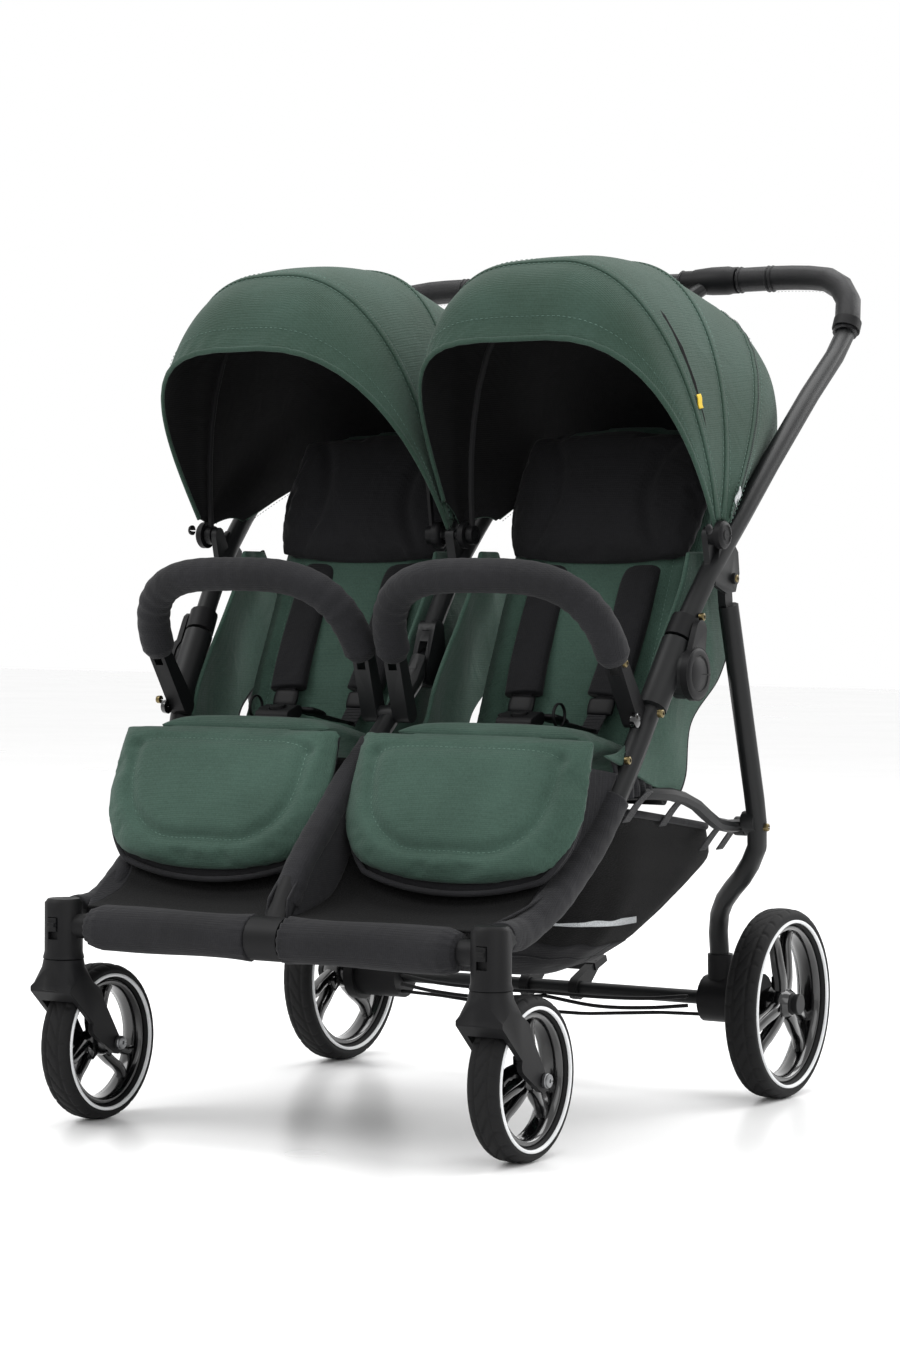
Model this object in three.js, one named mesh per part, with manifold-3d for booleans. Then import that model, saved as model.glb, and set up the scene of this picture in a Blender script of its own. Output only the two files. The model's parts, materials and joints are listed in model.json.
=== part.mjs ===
// Twin side-by-side pushchair. Millimetres, +Z up, front towards -Y, handle towards +Y.
// Side coordinates below are [y, z] pairs measured from a point on the floor under the front axle;
// the last lines move the whole model so that its origin lies under the middle of its box.
import * as THREE from 'three';
import { mergeVertices } from 'three/addons/utils/BufferGeometryUtils.js';
import Module from 'manifold-3d';

const wasm = await Module();
wasm.setup();

// ---- driving dimensions ----
const GAP = 0.3; // touching pieces keep this much air
const SLIP = 0.8; // running clearance of turning and sliding pieces

const FRONT_R = 94; // front wheel radius
const REAR_R = 120; // rear wheel radius
const FRONT_TYRE_W = 40;
const REAR_TYRE_W = 42;
const FRONT_TYRE_DEPTH = 18;
const REAR_TYRE_DEPTH = 20;
const FRONT_TRACK = 293.5; // half track of the front wheels
const REAR_TRACK = 327.5; // half track of the rear wheels
const WHEELBASE = 606;
const TRAIL = 70; // caster axis ahead of the front axle

const TUBE_R = 14; // front tubes
const UPPER_R = 12.5; // handle tubes
const LEG_R = 12.5;
const RAIL_R = 8;
const BACK_TUBE_R = 7.5;
const AXLE_R = 9;
const CROSS_R = 11;
const HANDLE_R = 11;
const GRIP_R = 16.5;
const HUB_R = 32; // fold hub disc
const HUB_FACE = 371; // outer face of the hub disc
const HUB_THICK = 9; // hub disc
const SLEEVE_R = 18;

const HOUSING_R = 23;
const HOUSING_LOW = 201;
const HOUSING_TOP = 272;
const SPINDLE_R = 9;

const SEAT_X = 172; // middle of each seat
const SEAT_HALF = 140; // half width of the seat and the back board
const PAN_HALF = 128; // seat pan between the front tubes
const WING_HALF = 147; // side wings behind the tubes
const BACK_LEN = 505;
const BACK_LEAN = 65; // degrees from the floor
const BACK_THICK = 24;
const LEGREST_LEN = 172;
const LEGREST_HALF = 158;
const LEGREST_THICK = 24;
const LEGREST_CORNER = 64;
const LEGREST_LEAN = 21; // degrees forward of hanging straight down

const CANOPY_X = 196;
const CANOPY_HALF = 178;
const CANOPY_R = 334; // height of the canopy arch above its pivot
const CANOPY_SKIN = 4;
const BUMPER_HALF = 150;
const BUMPER_EAR = 11; // half width of the fork that holds the bar's tongue
const BUMPER_TONGUE = 5;
const BUMPER_R = 19;
const BUMPER_RISE = 104;

// side view points [y, z]
const HUB = [283, 545]; // fold axis
const CANOPY_PIVOT = [339, 710];
const LEG_TOP = [388, 658];
const RAIL_BACK = [486, 352]; // rail to rear leg pin
const RAIL_FRONT = [180, 405]; // rail to front tube pin
const BACK_AXIS = [306, 394];
const BUMPER_PIVOT = [167, 559];
const LEGREST_AXIS = [108, 468];
const CROSSBAR = [-67, 240];
const HANDLE = [768, 1053];
const REAR_AXLE = [WHEELBASE, REAR_R];
const FRONT_AXLE = [0, FRONT_R];

// ---- solids ----
const rad = (degrees) => (degrees * Math.PI) / 180;
const v3 = (x, y, z) => new THREE.Vector3(x, y, z);

function toSolid(source) {
  let geometry = source.clone();
  geometry.deleteAttribute('normal');
  geometry.deleteAttribute('uv');
  geometry = mergeVertices(geometry, 1e-4);
  const vertProperties = new Float32Array(geometry.attributes.position.array);
  const triVerts = new Uint32Array(geometry.index.array);
  const solid = new wasm.Manifold(new wasm.Mesh({ numProp: 3, vertProperties, triVerts }));
  if (solid.volume() > 0) return solid;
  for (let i = 0; i < triVerts.length; i += 3) {
    [triVerts[i], triVerts[i + 1]] = [triVerts[i + 1], triVerts[i]];
  }
  return new wasm.Manifold(new wasm.Mesh({ numProp: 3, vertProperties, triVerts }));
}

function toGeometry(solid) {
  const mesh = solid.getMesh();
  const geometry = new THREE.BufferGeometry();
  geometry.setAttribute('position', new THREE.BufferAttribute(mesh.vertProperties, 3));
  geometry.setIndex(new THREE.BufferAttribute(mesh.triVerts, 1));
  return geometry;
}

const placed = (geometry, x, y, z) => toSolid(geometry.clone().translate(x, y, z));
const join = (...solids) => solids.reduce((a, b) => a.add(b));
const cut = (body, ...tools) => tools.reduce((a, b) => a.subtract(b), body);

function box(wide, deep, high, x, y, z) {
  return placed(new THREE.BoxGeometry(wide, deep, high), x, y, z);
}

// a cylinder between two points
function rod(from, to, radius, sides = 14) {
  const along = to.clone().sub(from);
  const geometry = new THREE.CylinderGeometry(radius, radius, along.length(), sides);
  const turn = new THREE.Quaternion().setFromUnitVectors(v3(0, 1, 0), along.clone().normalize());
  geometry.applyQuaternion(turn);
  geometry.translate(...from.clone().lerp(to, 0.5).toArray());
  return toSolid(geometry);
}

// a cylinder along X through the side point [y, z]
const barX = (x0, x1, at, radius, sides = 20) => {
  const geometry = new THREE.CylinderGeometry(radius, radius, Math.abs(x1 - x0), sides);
  geometry.rotateZ(Math.PI / 2);
  return placed(geometry, (x0 + x1) / 2, at[0], at[1]);
};

function circle(radius, sides) {
  const shape = new THREE.Shape();
  for (let i = 0; i < sides; i += 1) {
    const a = (i / sides) * 2 * Math.PI;
    if (i === 0) shape.moveTo(radius, 0);
    else shape.lineTo(radius * Math.cos(a), radius * Math.sin(a));
  }
  return shape;
}

// a round tube swept along a smooth curve through the points
function tube(points, radius, steps, sides = 10) {
  const extrudePath = new THREE.CatmullRomCurve3(points, false, 'centripetal');
  const options = { steps, extrudePath, bevelEnabled: false };
  return toSolid(new THREE.ExtrudeGeometry(circle(radius, sides), options));
}

// a side-view outline [y, z] given a thickness along X
function plate(outline, x0, x1) {
  const shape = new THREE.Shape(outline.map(([y, z]) => new THREE.Vector2(y, z)));
  const options = { depth: Math.abs(x1 - x0), bevelEnabled: false };
  const geometry = new THREE.ExtrudeGeometry(shape, options);
  geometry.applyMatrix4(new THREE.Matrix4().set(0, 0, 1, 0, 1, 0, 0, 0, 0, 1, 0, 0, 0, 0, 0, 1));
  return placed(geometry, Math.min(x0, x1), 0, 0);
}

// the outline of a bar with round ends between two side points
function capsule(from, to, radiusFrom, radiusTo, arcs = 6) {
  const heading = Math.atan2(to[1] - from[1], to[0] - from[0]);
  const outline = [];
  for (let i = 0; i <= arcs; i += 1) {
    const a = heading + Math.PI / 2 + (i / arcs) * Math.PI;
    outline.push([from[0] + radiusFrom * Math.cos(a), from[1] + radiusFrom * Math.sin(a)]);
  }
  for (let i = 0; i <= arcs; i += 1) {
    const a = heading - Math.PI / 2 + (i / arcs) * Math.PI;
    outline.push([to[0] + radiusTo * Math.cos(a), to[1] + radiusTo * Math.sin(a)]);
  }
  return outline;
}

// a profile of [radius, x] turned about the X axis through a side point
function turned(profile, x, at, segments) {
  const points = profile.map(([r, along]) => new THREE.Vector2(r, along));
  const geometry = new THREE.LatheGeometry(points, segments);
  geometry.rotateZ(-Math.PI / 2);
  return placed(geometry, x, at[0], at[1]);
}

// a profile of [radius, z] turned about a vertical axis
function upright(profile, x, y, segments = 18) {
  const points = profile.map(([r, z]) => new THREE.Vector2(r, z));
  const geometry = new THREE.LatheGeometry(points, segments);
  geometry.rotateX(Math.PI / 2);
  return placed(geometry, x, y, 0);
}

// a closed shell between two surfaces that share the same grid
function shell(outer, inner, across, along) {
  const positions = [];
  const index = [];
  for (const surface of [outer, inner]) {
    for (let j = 0; j <= along; j += 1) {
      for (let i = 0; i <= across; i += 1) positions.push(...surface(i / across, j / along));
    }
  }
  const row = across + 1;
  const layer = row * (along + 1);
  const quad = (a, b, c, d) => index.push(a, b, c, a, c, d);
  for (let j = 0; j < along; j += 1) {
    for (let i = 0; i < across; i += 1) {
      const a = j * row + i;
      quad(a, a + 1, a + row + 1, a + row);
      quad(layer + a, layer + a + row, layer + a + row + 1, layer + a + 1);
    }
  }
  for (let i = 0; i < across; i += 1) {
    const top = along * row + i;
    quad(i, layer + i, layer + i + 1, i + 1);
    quad(top, top + 1, layer + top + 1, layer + top);
  }
  for (let j = 0; j < along; j += 1) {
    const left = j * row;
    const right = left + across;
    quad(left, left + row, layer + left + row, layer + left);
    quad(right, layer + right, layer + right + row, right + row);
  }
  const geometry = new THREE.BufferGeometry();
  geometry.setAttribute('position', new THREE.Float32BufferAttribute(positions, 3));
  geometry.setIndex(index);
  return toSolid(geometry);
}

// ---- materials ----
const finishes = {
  frame: { color: 0x2b2b2e, roughness: 0.55, metalness: 0.3 },
  plastic: { color: 0x1d1d1f, roughness: 0.5, metalness: 0 },
  rim: { color: 0x121214, roughness: 0.25, metalness: 0 },
  tyre: { color: 0x19191b, roughness: 0.85, metalness: 0 },
  grip: { color: 0x1b1b1d, roughness: 0.6, metalness: 0 },
  green: { color: 0x3d5f52, roughness: 0.9, metalness: 0 },
  black: { color: 0x1f1f22, roughness: 0.95, metalness: 0 },
};

const stroller = new THREE.Group();
const sides = [['left', -1], ['right', 1]];

function add(name, solid, finish) {
  const mesh = new THREE.Mesh(toGeometry(solid), new THREE.MeshStandardMaterial(finishes[finish]));
  mesh.name = name;
  stroller.add(mesh);
}

// a piece drawn for the right hand side, and its mirror image
function addPair(name, solid, finish) {
  add(`${name}_right`, solid, finish);
  add(`${name}_left`, solid.mirror([1, 0, 0]), finish);
}

// ---- wheels ----
function tyreSolid(radius, depth, width, x, at, segments) {
  const inner = radius - depth;
  const half = width / 2;
  const shoulder = depth * 0.3;
  const profile = [
    [inner, -half * 0.7],
    [radius - shoulder, -half],
    [radius - shoulder * 0.3, -half * 0.8],
    [radius, -half * 0.4],
    [radius, half * 0.4],
    [radius - shoulder * 0.3, half * 0.8],
    [radius - shoulder, half],
    [inner, half * 0.7],
    [inner, -half * 0.7],
  ];
  return turned(profile, x, at, segments);
}

function rimSolid(radius, width, hubRadius, hubHalf, bore, x, at, segments) {
  const half = width / 2;
  const wall = 7;
  const ring = [
    [radius - wall, -half],
    [radius, -half],
    [radius, half],
    [radius - wall, half],
    [radius - wall, -half],
  ];
  let rim = turned(ring, x, at, segments);
  rim = rim.add(barX(x - hubHalf, x + hubHalf, at, hubRadius));
  const reach = barX(x - half, x + half, at, radius - 2);
  for (let i = 0; i < 3; i += 1) {
    const a = rad(90 + 120 * i);
    const point = (r) => [at[0] + r * Math.cos(a), at[1] + r * Math.sin(a)];
    const spoke = plate(capsule(at, point(radius), hubRadius * 0.95, radius * 0.13), x - 7, x + 7);
    const slot = plate(capsule(point(radius * 0.42), point(radius * 0.72), 3, 4, 4), x - 9, x + 9);
    rim = rim.add(spoke.intersect(reach).subtract(slot));
  }
  return rim.subtract(barX(x - hubHalf - 2, x + hubHalf + 2, at, bore, 16));
}

const WHEEL_FACETS = 28;
const AXLE_PIN_R = 5;
const frontInner = FRONT_R - FRONT_TYRE_DEPTH;
const rearInner = REAR_R - REAR_TYRE_DEPTH;
const FRONT_HUB_HALF = 20;
const REAR_HUB_HALF = 22;
const REAR_STUB_R = 6;

addPair(
  'front_tyre',
  tyreSolid(FRONT_R, FRONT_TYRE_DEPTH, FRONT_TYRE_W, FRONT_TRACK, FRONT_AXLE, WHEEL_FACETS),
  'tyre',
);
addPair(
  'front_rim',
  rimSolid(
    frontInner - GAP, 26, 15, FRONT_HUB_HALF, AXLE_PIN_R + SLIP, FRONT_TRACK, FRONT_AXLE, WHEEL_FACETS,
  ),
  'rim',
);
addPair(
  'rear_tyre',
  tyreSolid(REAR_R, REAR_TYRE_DEPTH, REAR_TYRE_W, REAR_TRACK, REAR_AXLE, WHEEL_FACETS),
  'tyre',
);
addPair(
  'rear_rim',
  rimSolid(rearInner - GAP, 28, 20, REAR_HUB_HALF, REAR_STUB_R + SLIP, REAR_TRACK, REAR_AXLE, WHEEL_FACETS),
  'rim',
);

// ---- casters ----
const FORK_INNER = FRONT_HUB_HALF + 3; // from the wheel's middle plane to the inside of each arm
const FORK_ARM = 7;
const CROWN_LOW = 189;
const CROWN_TOP = HOUSING_LOW - SLIP;
const forkOuter = FORK_INNER + FORK_ARM;
const crownR = forkOuter - 1;
const casterY = FRONT_AXLE[0] - TRAIL;

// a round crown that tapers up to the housing and opens over the tyre, with an arm down each side
function forkSolid() {
  const x = FRONT_TRACK;
  const armOutline = [
    [casterY - 26, CROWN_TOP],
    [casterY - 26, 162],
    [casterY + 12, 128],
    ...capsule([casterY + 30, 116], FRONT_AXLE, 12, 14).slice(3, 11),
    [-26, 144],
    [casterY + 30, 172],
    [casterY + 27, CROWN_TOP],
  ];
  const taper = [
    [0, CROWN_TOP],
    [HOUSING_R + 1, CROWN_TOP],
    [HOUSING_R + 3, CROWN_TOP - 10],
    [forkOuter + 5, 172],
    [forkOuter + 26, 152],
    [forkOuter + 95, 128],
    [forkOuter + 95, 60],
    [0, 60],
  ];
  const crown = [
    [0, CROWN_TOP],
    [HOUSING_R + 1, CROWN_TOP],
    [HOUSING_R + 3, CROWN_TOP - 10],
    [crownR - 1, 178],
    [crownR, 170],
    [crownR, 164],
    [0, 164],
  ];
  const arms = plate(armOutline, x - forkOuter, x + forkOuter).intersect(upright(taper, x, casterY, 24));
  const tyreSpace = barX(x - FORK_INNER, x + FORK_INNER, FRONT_AXLE, FRONT_R + 5, 40);
  const between = box(2 * FORK_INNER, 200, 100, x, casterY + 100, 110);
  const spindle = rod(v3(x, casterY, CROWN_LOW + 2), v3(x, casterY, HOUSING_TOP - 12), SPINDLE_R, 16);
  const pinHole = barX(x - forkOuter - 2, x + forkOuter + 2, FRONT_AXLE, AXLE_PIN_R + GAP, 16);
  return cut(join(cut(join(arms, upright(crown, x, casterY, 24)), tyreSpace, between), spindle), pinHole);
}
addPair('caster_fork', forkSolid(), 'plastic');

const BOLT_HEAD_R = 8.5;
addPair(
  'front_axle_bolt',
  join(
    barX(FRONT_TRACK - forkOuter - 4, FRONT_TRACK + forkOuter + 4, FRONT_AXLE, AXLE_PIN_R, 16),
    barX(FRONT_TRACK + forkOuter + GAP, FRONT_TRACK + forkOuter + 5, FRONT_AXLE, BOLT_HEAD_R, 16),
    barX(FRONT_TRACK - forkOuter - 5, FRONT_TRACK - forkOuter - GAP, FRONT_AXLE, BOLT_HEAD_R, 16),
  ),
  'frame',
);

const LOCK_WIDE = 12;
const LOCK_HIGH = 16;
const LOCK_TRAVEL = 9;
const LOCK_DEEP = 8;
const LOCK_Z = 242;
const lockY = casterY - HOUSING_R;

// front tube run, from the caster housing to the fold hub, seen from the side with its X
const FRONT_RUN = [
  v3(FRONT_TRACK, casterY + 20, 255),
  v3(FRONT_TRACK + 1, 0, 259),
  v3(FRONT_TRACK + 8, 70, 296),
  v3(FRONT_TRACK + 16, 142, 356),
  v3(FRONT_TRACK + 27, 196, 430),
  v3(FRONT_TRACK + 39, 236, 508),
];

const along = [0.554, 0.832]; // direction of the tubes at the hub
const ahead = [-0.832, 0.554];
const HUB_SET = 22; // tube centre line ahead of the fold axis
const atHub = (run, side) => [
  HUB[0] + run * along[0] + side * ahead[0],
  HUB[1] + run * along[1] + side * ahead[1],
];
const side3 = (x, at) => v3(x, at[0], at[1]);
const HUB_X = FRONT_TRACK + 49; // tube centre at the hub
const FRONT_SLEEVE_END = HUB_R - 2; // the sleeves end clear of the hub's disc
const UPPER_SLEEVE_START = FRONT_SLEEVE_END + 4;
const SLEEVE_LEN = 62;
const FRONT_STEPS = 16;
const frontTop = side3(HUB_X, atHub(FRONT_SLEEVE_END, HUB_SET));
const frontPath = [...FRONT_RUN, side3(HUB_X - 3, atHub(-22, HUB_SET)), frontTop];

function housingSolid() {
  const x = FRONT_TRACK;
  const cap = [
    [0, HOUSING_LOW],
    [HOUSING_R + 2, HOUSING_LOW],
    [HOUSING_R, HOUSING_LOW + 8],
    [HOUSING_R, HOUSING_TOP - 5],
    [HOUSING_R - 4, HOUSING_TOP],
    [0, HOUSING_TOP],
  ];
  const socket = rod(v3(x, casterY, 255), v3(x, casterY + 52, 256), TUBE_R + 3.5);
  const crossSocket = barX(x - HOUSING_R - 16, x, [CROSSBAR[0], CROSSBAR[1]], CROSS_R + 4);
  const body = join(upright(cap, x, casterY), socket, crossSocket);
  const bore = rod(v3(x, casterY, HOUSING_LOW - 2), v3(x, casterY, HOUSING_TOP - 10), SPINDLE_R + SLIP);
  const tubeSeat = tube(frontPath, TUBE_R + GAP, FRONT_STEPS);
  const crossSeat = barX(x - HOUSING_R - 30, x - HOUSING_R + 2, CROSSBAR, CROSS_R + GAP);
  const slotHigh = LOCK_HIGH + LOCK_TRAVEL + 2 * SLIP;
  const slotY = lockY + LOCK_DEEP / 2 - 1;
  const slot = box(LOCK_WIDE + 2 * SLIP, LOCK_DEEP, slotHigh, x, slotY, LOCK_Z - LOCK_TRAVEL / 2);
  return cut(body, bore, tubeSeat, crossSeat, slot);
}
addPair('caster_housing', housingSolid(), 'plastic');
addPair(
  'swivel_lock',
  join(
    box(LOCK_WIDE, LOCK_DEEP - 2, LOCK_HIGH, FRONT_TRACK, lockY + LOCK_DEEP / 2 - 2, LOCK_Z),
    box(LOCK_WIDE - 2, 4, 5, FRONT_TRACK, lockY - 2, LOCK_Z),
  ),
  'plastic',
);

// ---- front frame ----
function frontTubeSolid() {
  const run = tube(frontPath, TUBE_R, FRONT_STEPS);
  const sleeve = rod(side3(HUB_X - 6, atHub(-SLEEVE_LEN, HUB_SET)), frontTop, SLEEVE_R);
  const disc = barX(HUB_X + 2, HUB_FACE - HUB_THICK - SLIP, HUB, HUB_R - 2);
  return join(run, sleeve, disc);
}
addPair('front_tube', frontTubeSolid(), 'frame');

const CENTRE_R = 12;
const CENTRE_LUG = 5;
const LUG_R = 24;
const CENTRE_STEPS = 12;
const CENTRE_RUN = [
  v3(0, CROSSBAR[0] + 12, CROSSBAR[1] + 16),
  v3(0, -8, 319),
  v3(0, 92, 410),
  v3(0, 190, 485),
  side3(0, atHub(-34, HUB_SET)),
  side3(0, atHub(0, HUB_SET)),
];
function frontCentreSolid() {
  const run = tube(CENTRE_RUN, CENTRE_R, CENTRE_STEPS);
  const lug = plate(capsule(atHub(-20, HUB_SET), HUB, CENTRE_R, LUG_R), -CENTRE_LUG, CENTRE_LUG);
  const foot = [190, 492];
  const ears = [-1, 1].map((s) => {
    const x = s * (SEAT_X - BUMPER_HALF);
    return plate(capsule(foot, BUMPER_PIVOT, 11, 9), x - BUMPER_EAR, x + BUMPER_EAR);
  });
  const slots = [-1, 1].map((s) => {
    const x = s * (SEAT_X - BUMPER_HALF);
    return box(2 * (BUMPER_TONGUE + SLIP), 60, 44, x, BUMPER_PIVOT[0], BUMPER_PIVOT[1] + 8);
  });
  const reach = SEAT_X - BUMPER_HALF;
  const bridge = barX(-reach, reach, foot, 10);
  const cheekSpace = barX(-40, 40, HUB, LUG_R + 4);
  return cut(join(cut(run, cheekSpace), lug, bridge, ...ears), ...slots);
}
add('front_tube_centre', frontCentreSolid(), 'frame');

const crossEnd = FRONT_TRACK - HOUSING_R + 1;
add('front_crossbar', barX(-crossEnd, crossEnd, CROSSBAR, CROSS_R), 'frame');

const JOINER_HALF = 22;
function joinerSolid() {
  const barrel = barX(-JOINER_HALF, JOINER_HALF, CROSSBAR, 26);
  const socketSpan = box(60, 90, 60, 0, CROSSBAR[0] + 30, CROSSBAR[1] + 40);
  const socket = tube(CENTRE_RUN, CENTRE_R + 4, CENTRE_STEPS).intersect(socketSpan);
  const tubeSeat = tube(CENTRE_RUN, CENTRE_R + GAP, CENTRE_STEPS);
  return cut(join(barrel, socket), barX(-60, 60, CROSSBAR, CROSS_R + GAP), tubeSeat);
}
add('crossbar_joiner', joinerSolid(), 'plastic');

// calf panel: a fabric sheet from the seat front down to a roll round the crossbar
const PANEL_X0 = JOINER_HALF + 2;
const PANEL_X1 = FRONT_TRACK - HOUSING_R - 18;
function calfPanelSolid() {
  const roll = barX(PANEL_X0, PANEL_X1, CROSSBAR, 27);
  const sheet = plate(
    [[-46, 250], [68, 285], [126, 438], [120, 440], [64, 290], [-50, 255]],
    PANEL_X0,
    PANEL_X1,
  );
  return cut(join(roll, sheet), barX(0, 400, CROSSBAR, CROSS_R + GAP));
}
addPair('calf_panel', calfPanelSolid(), 'black');

function bumperMountSolid() {
  const x = SEAT_X + BUMPER_HALF;
  const foot = [214, 494];
  const arm = plate(capsule(foot, BUMPER_PIVOT, 12, 9), x - BUMPER_EAR, x + BUMPER_EAR);
  const tubeX = HUB_X - 14; // the front tube beside the foot
  const bridge = barX(Math.min(x, tubeX), Math.max(x, tubeX), foot, 11);
  const slot = box(2 * (BUMPER_TONGUE + SLIP), 60, 44, x, BUMPER_PIVOT[0], BUMPER_PIVOT[1] + 8);
  const sleeveSpace = rod(side3(HUB_X - 6, atHub(-SLEEVE_LEN, HUB_SET)), frontTop, SLEEVE_R + GAP);
  const tubeSpace = tube(frontPath, TUBE_R + GAP, FRONT_STEPS);
  return cut(join(arm, bridge), slot, sleeveSpace, tubeSpace);
}
addPair('bumper_mount', bumperMountSolid(), 'plastic');

// ---- upper frame ----
const UPPER_STEPS = 12;
const BOW_HALF = CANOPY_HALF - 11; // half width of the canopy bows
const BOW_PIN_R = 6;
const handleEnd = v3(358, HANDLE[0] - 44, HANDLE[1] - 79);
const handleRun = [
  v3(0, ...HANDLE),
  v3(150, ...HANDLE),
  v3(270, ...HANDLE),
  v3(322, HANDLE[0] - 4, HANDLE[1] - 7),
  v3(350, HANDLE[0] - 18, HANDLE[1] - 33),
  handleEnd.clone().add(v3(0, 0.2, 0.3)),
];
const upperRun = [
  side3(HUB_X + 1, atHub(UPPER_SLEEVE_START, HUB_SET)),
  v3(353, 340, 661),
  v3(361, 400, 722),
  v3(364, 481, 794),
  v3(364, 600, 887),
  v3(360, 700, 953),
  handleEnd,
];

function upperTubeSolid() {
  const run = tube(upperRun, UPPER_R, UPPER_STEPS);
  const bracket = plate(
    [[340, 650], [352, 700], [372, 716], [402, 690], [406, 664], [396, 642], [372, 640]],
    358,
    364,
  );
  const pin = barX(360, 369, LEG_TOP, 7, 12);
  const canopyPin = barX(352, CANOPY_X + BOW_HALF + 4, CANOPY_PIVOT, BOW_PIN_R, 12);
  const canopyArm = plate(capsule([352, 676], CANOPY_PIVOT, 14, 10), 350, CANOPY_X + BOW_HALF - 4.5 - SLIP);
  const gripSpace = tube([...handleRun.slice(2, -1), handleEnd], GRIP_R + 8, 9);
  return join(cut(run, gripSpace), bracket, pin, canopyArm, canopyPin);
}
addPair('upper_tube', upperTubeSolid(), 'frame');

function hubCapSolid() {
  const disc = barX(HUB_FACE - HUB_THICK, HUB_FACE, HUB, HUB_R, 32);
  const start = side3(HUB_X + 1, atHub(UPPER_SLEEVE_START, HUB_SET));
  const sleeve = rod(start, side3(HUB_X + 4, atHub(SLEEVE_LEN, HUB_SET)), SLEEVE_R);
  const armOutline = capsule(atHub(0, 4), atHub(UPPER_SLEEVE_START + 14, HUB_SET - 4), 22, 14);
  const arm = plate(armOutline, HUB_FACE - HUB_THICK, HUB_FACE - 2);
  const tubeSpace = tube(upperRun, UPPER_R + GAP, UPPER_STEPS);
  return cut(join(disc, arm, sleeve), tubeSpace);
}
addPair('hub_cap', hubCapSolid(), 'plastic');

const YOKE_X = 145;
const YOKE_R = 10;
function upperCentreSolid() {
  const fork = v3(0, HANDLE[0] - 96, HANDLE[1] - 109);
  const start = side3(0, atHub(UPPER_SLEEVE_START, HUB_SET));
  const run = tube([start, v3(0, 340, 661), v3(0, 481, 790), fork], CENTRE_R, CENTRE_STEPS);
  const cheeks = capsule(HUB, atHub(UPPER_SLEEVE_START + 8, HUB_SET), LUG_R, CENTRE_R);
  const lug = plate(cheeks, -CENTRE_R, CENTRE_R);
  const lugSpace = barX(-CENTRE_LUG - SLIP, CENTRE_LUG + SLIP, HUB, LUG_R + 12);
  const tubeOutline = capsule(atHub(-20, HUB_SET), HUB, CENTRE_R + 2, LUG_R + 1);
  const tubeSide = plate(tubeOutline, -CENTRE_LUG - SLIP, CENTRE_LUG + SLIP);
  const armRun = (s) => [fork, v3(s * 60, HANDLE[0] - 72, HANDLE[1] - 78), v3(s * YOKE_X, ...HANDLE)];
  const arms = [-1, 1].map((s) => tube(armRun(s), YOKE_R, 6));
  const canopyArm = plate(capsule([352, 676], CANOPY_PIVOT, 12, 9), -6, 6);
  const pinReach = CANOPY_X - BOW_HALF + 4;
  const canopyPin = barX(-pinReach, pinReach, CANOPY_PIVOT, BOW_PIN_R, 12);
  const barSpace = barX(-300, 300, HANDLE, HANDLE_R + GAP);
  return cut(join(run, lug, canopyArm, canopyPin, ...arms), lugSpace, tubeSide, barSpace);
}
add('upper_tube_centre', upperCentreSolid(), 'frame');

const mirrored = handleRun.slice(1).map((p) => v3(-p.x, p.y, p.z)).reverse();
const wholeHandle = [...mirrored, ...handleRun];
const HANDLE_STEPS = 28;
add('handlebar', tube(wholeHandle, HANDLE_R, HANDLE_STEPS), 'frame');

function gripSolid() {
  const start = v3(186, ...HANDLE);
  const path = [start, ...handleRun.slice(2)];
  return tube(path, GRIP_R, 9).subtract(tube(wholeHandle, HANDLE_R + GAP, HANDLE_STEPS));
}
addPair('grip', gripSolid(), 'grip');

// ---- rear frame ----
const LEG_X = 355;
const LEG_STEPS = 18;
const legRun = [
  side3(LEG_X, [394, 626]),
  v3(LEG_X, 408, 580),
  v3(LEG_X, 450, 456),
  v3(LEG_X, 478, 366),
  v3(350, 492, 328),
  v3(318, 520, 288),
  v3(276, 556, 254),
  v3(252, 586, 222),
  v3(246, 602, 180),
  v3(246, WHEELBASE, 146),
];
const RAIL_X = 331;
function rearLegSolid() {
  const leg = tube(legRun, LEG_R, LEG_STEPS);
  const eye = plate(capsule(LEG_TOP, [392, 630], 10, 10), LEG_X - 8, LEG_X + 2);
  const hole = barX(LEG_X - 30, LEG_X + 30, LEG_TOP, 5 + SLIP, 12);
  const ear = plate(capsule([474, 360], RAIL_BACK, 12, 12), RAIL_X + RAIL_R + 1, LEG_X + 2);
  const pin = barX(RAIL_X - 6, RAIL_X + RAIL_R + 3, RAIL_BACK, 4.5, 12);
  return cut(join(leg, eye, ear, pin), hole);
}
addPair('rear_leg', rearLegSolid(), 'frame');

const REAR_HOUSING_HALF = 20;
function rearHousingSolid() {
  const x = 246;
  const barrel = barX(x - REAR_HOUSING_HALF, REAR_TRACK - REAR_HUB_HALF - 14, REAR_AXLE, 30);
  const drum = barX(REAR_TRACK - REAR_HUB_HALF - 16, REAR_TRACK - REAR_HUB_HALF - 1.5, REAR_AXLE, 36);
  const neck = rod(v3(x, WHEELBASE, REAR_R), v3(x, WHEELBASE - 2, 178), LEG_R + 4);
  const legSpace = tube(legRun, LEG_R + GAP, LEG_STEPS);
  const bore = barX(0, 400, REAR_AXLE, AXLE_R + GAP, 16);
  return cut(join(barrel, drum, neck), legSpace, bore);
}
addPair('axle_housing', rearHousingSolid(), 'plastic');
const stubEnd = REAR_TRACK + REAR_HUB_HALF + 6;
add(
  'rear_axle',
  join(
    barX(-REAR_TRACK + REAR_HUB_HALF + 1, REAR_TRACK - REAR_HUB_HALF - 1, REAR_AXLE, AXLE_R, 16),
    barX(-stubEnd, stubEnd, REAR_AXLE, REAR_STUB_R, 16),
    ...[-1, 1].map((s) => barX(s * (REAR_TRACK + REAR_HUB_HALF + 1), s * (stubEnd + 3), REAR_AXLE, 13, 16)),
  ),
  'frame',
);

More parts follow.
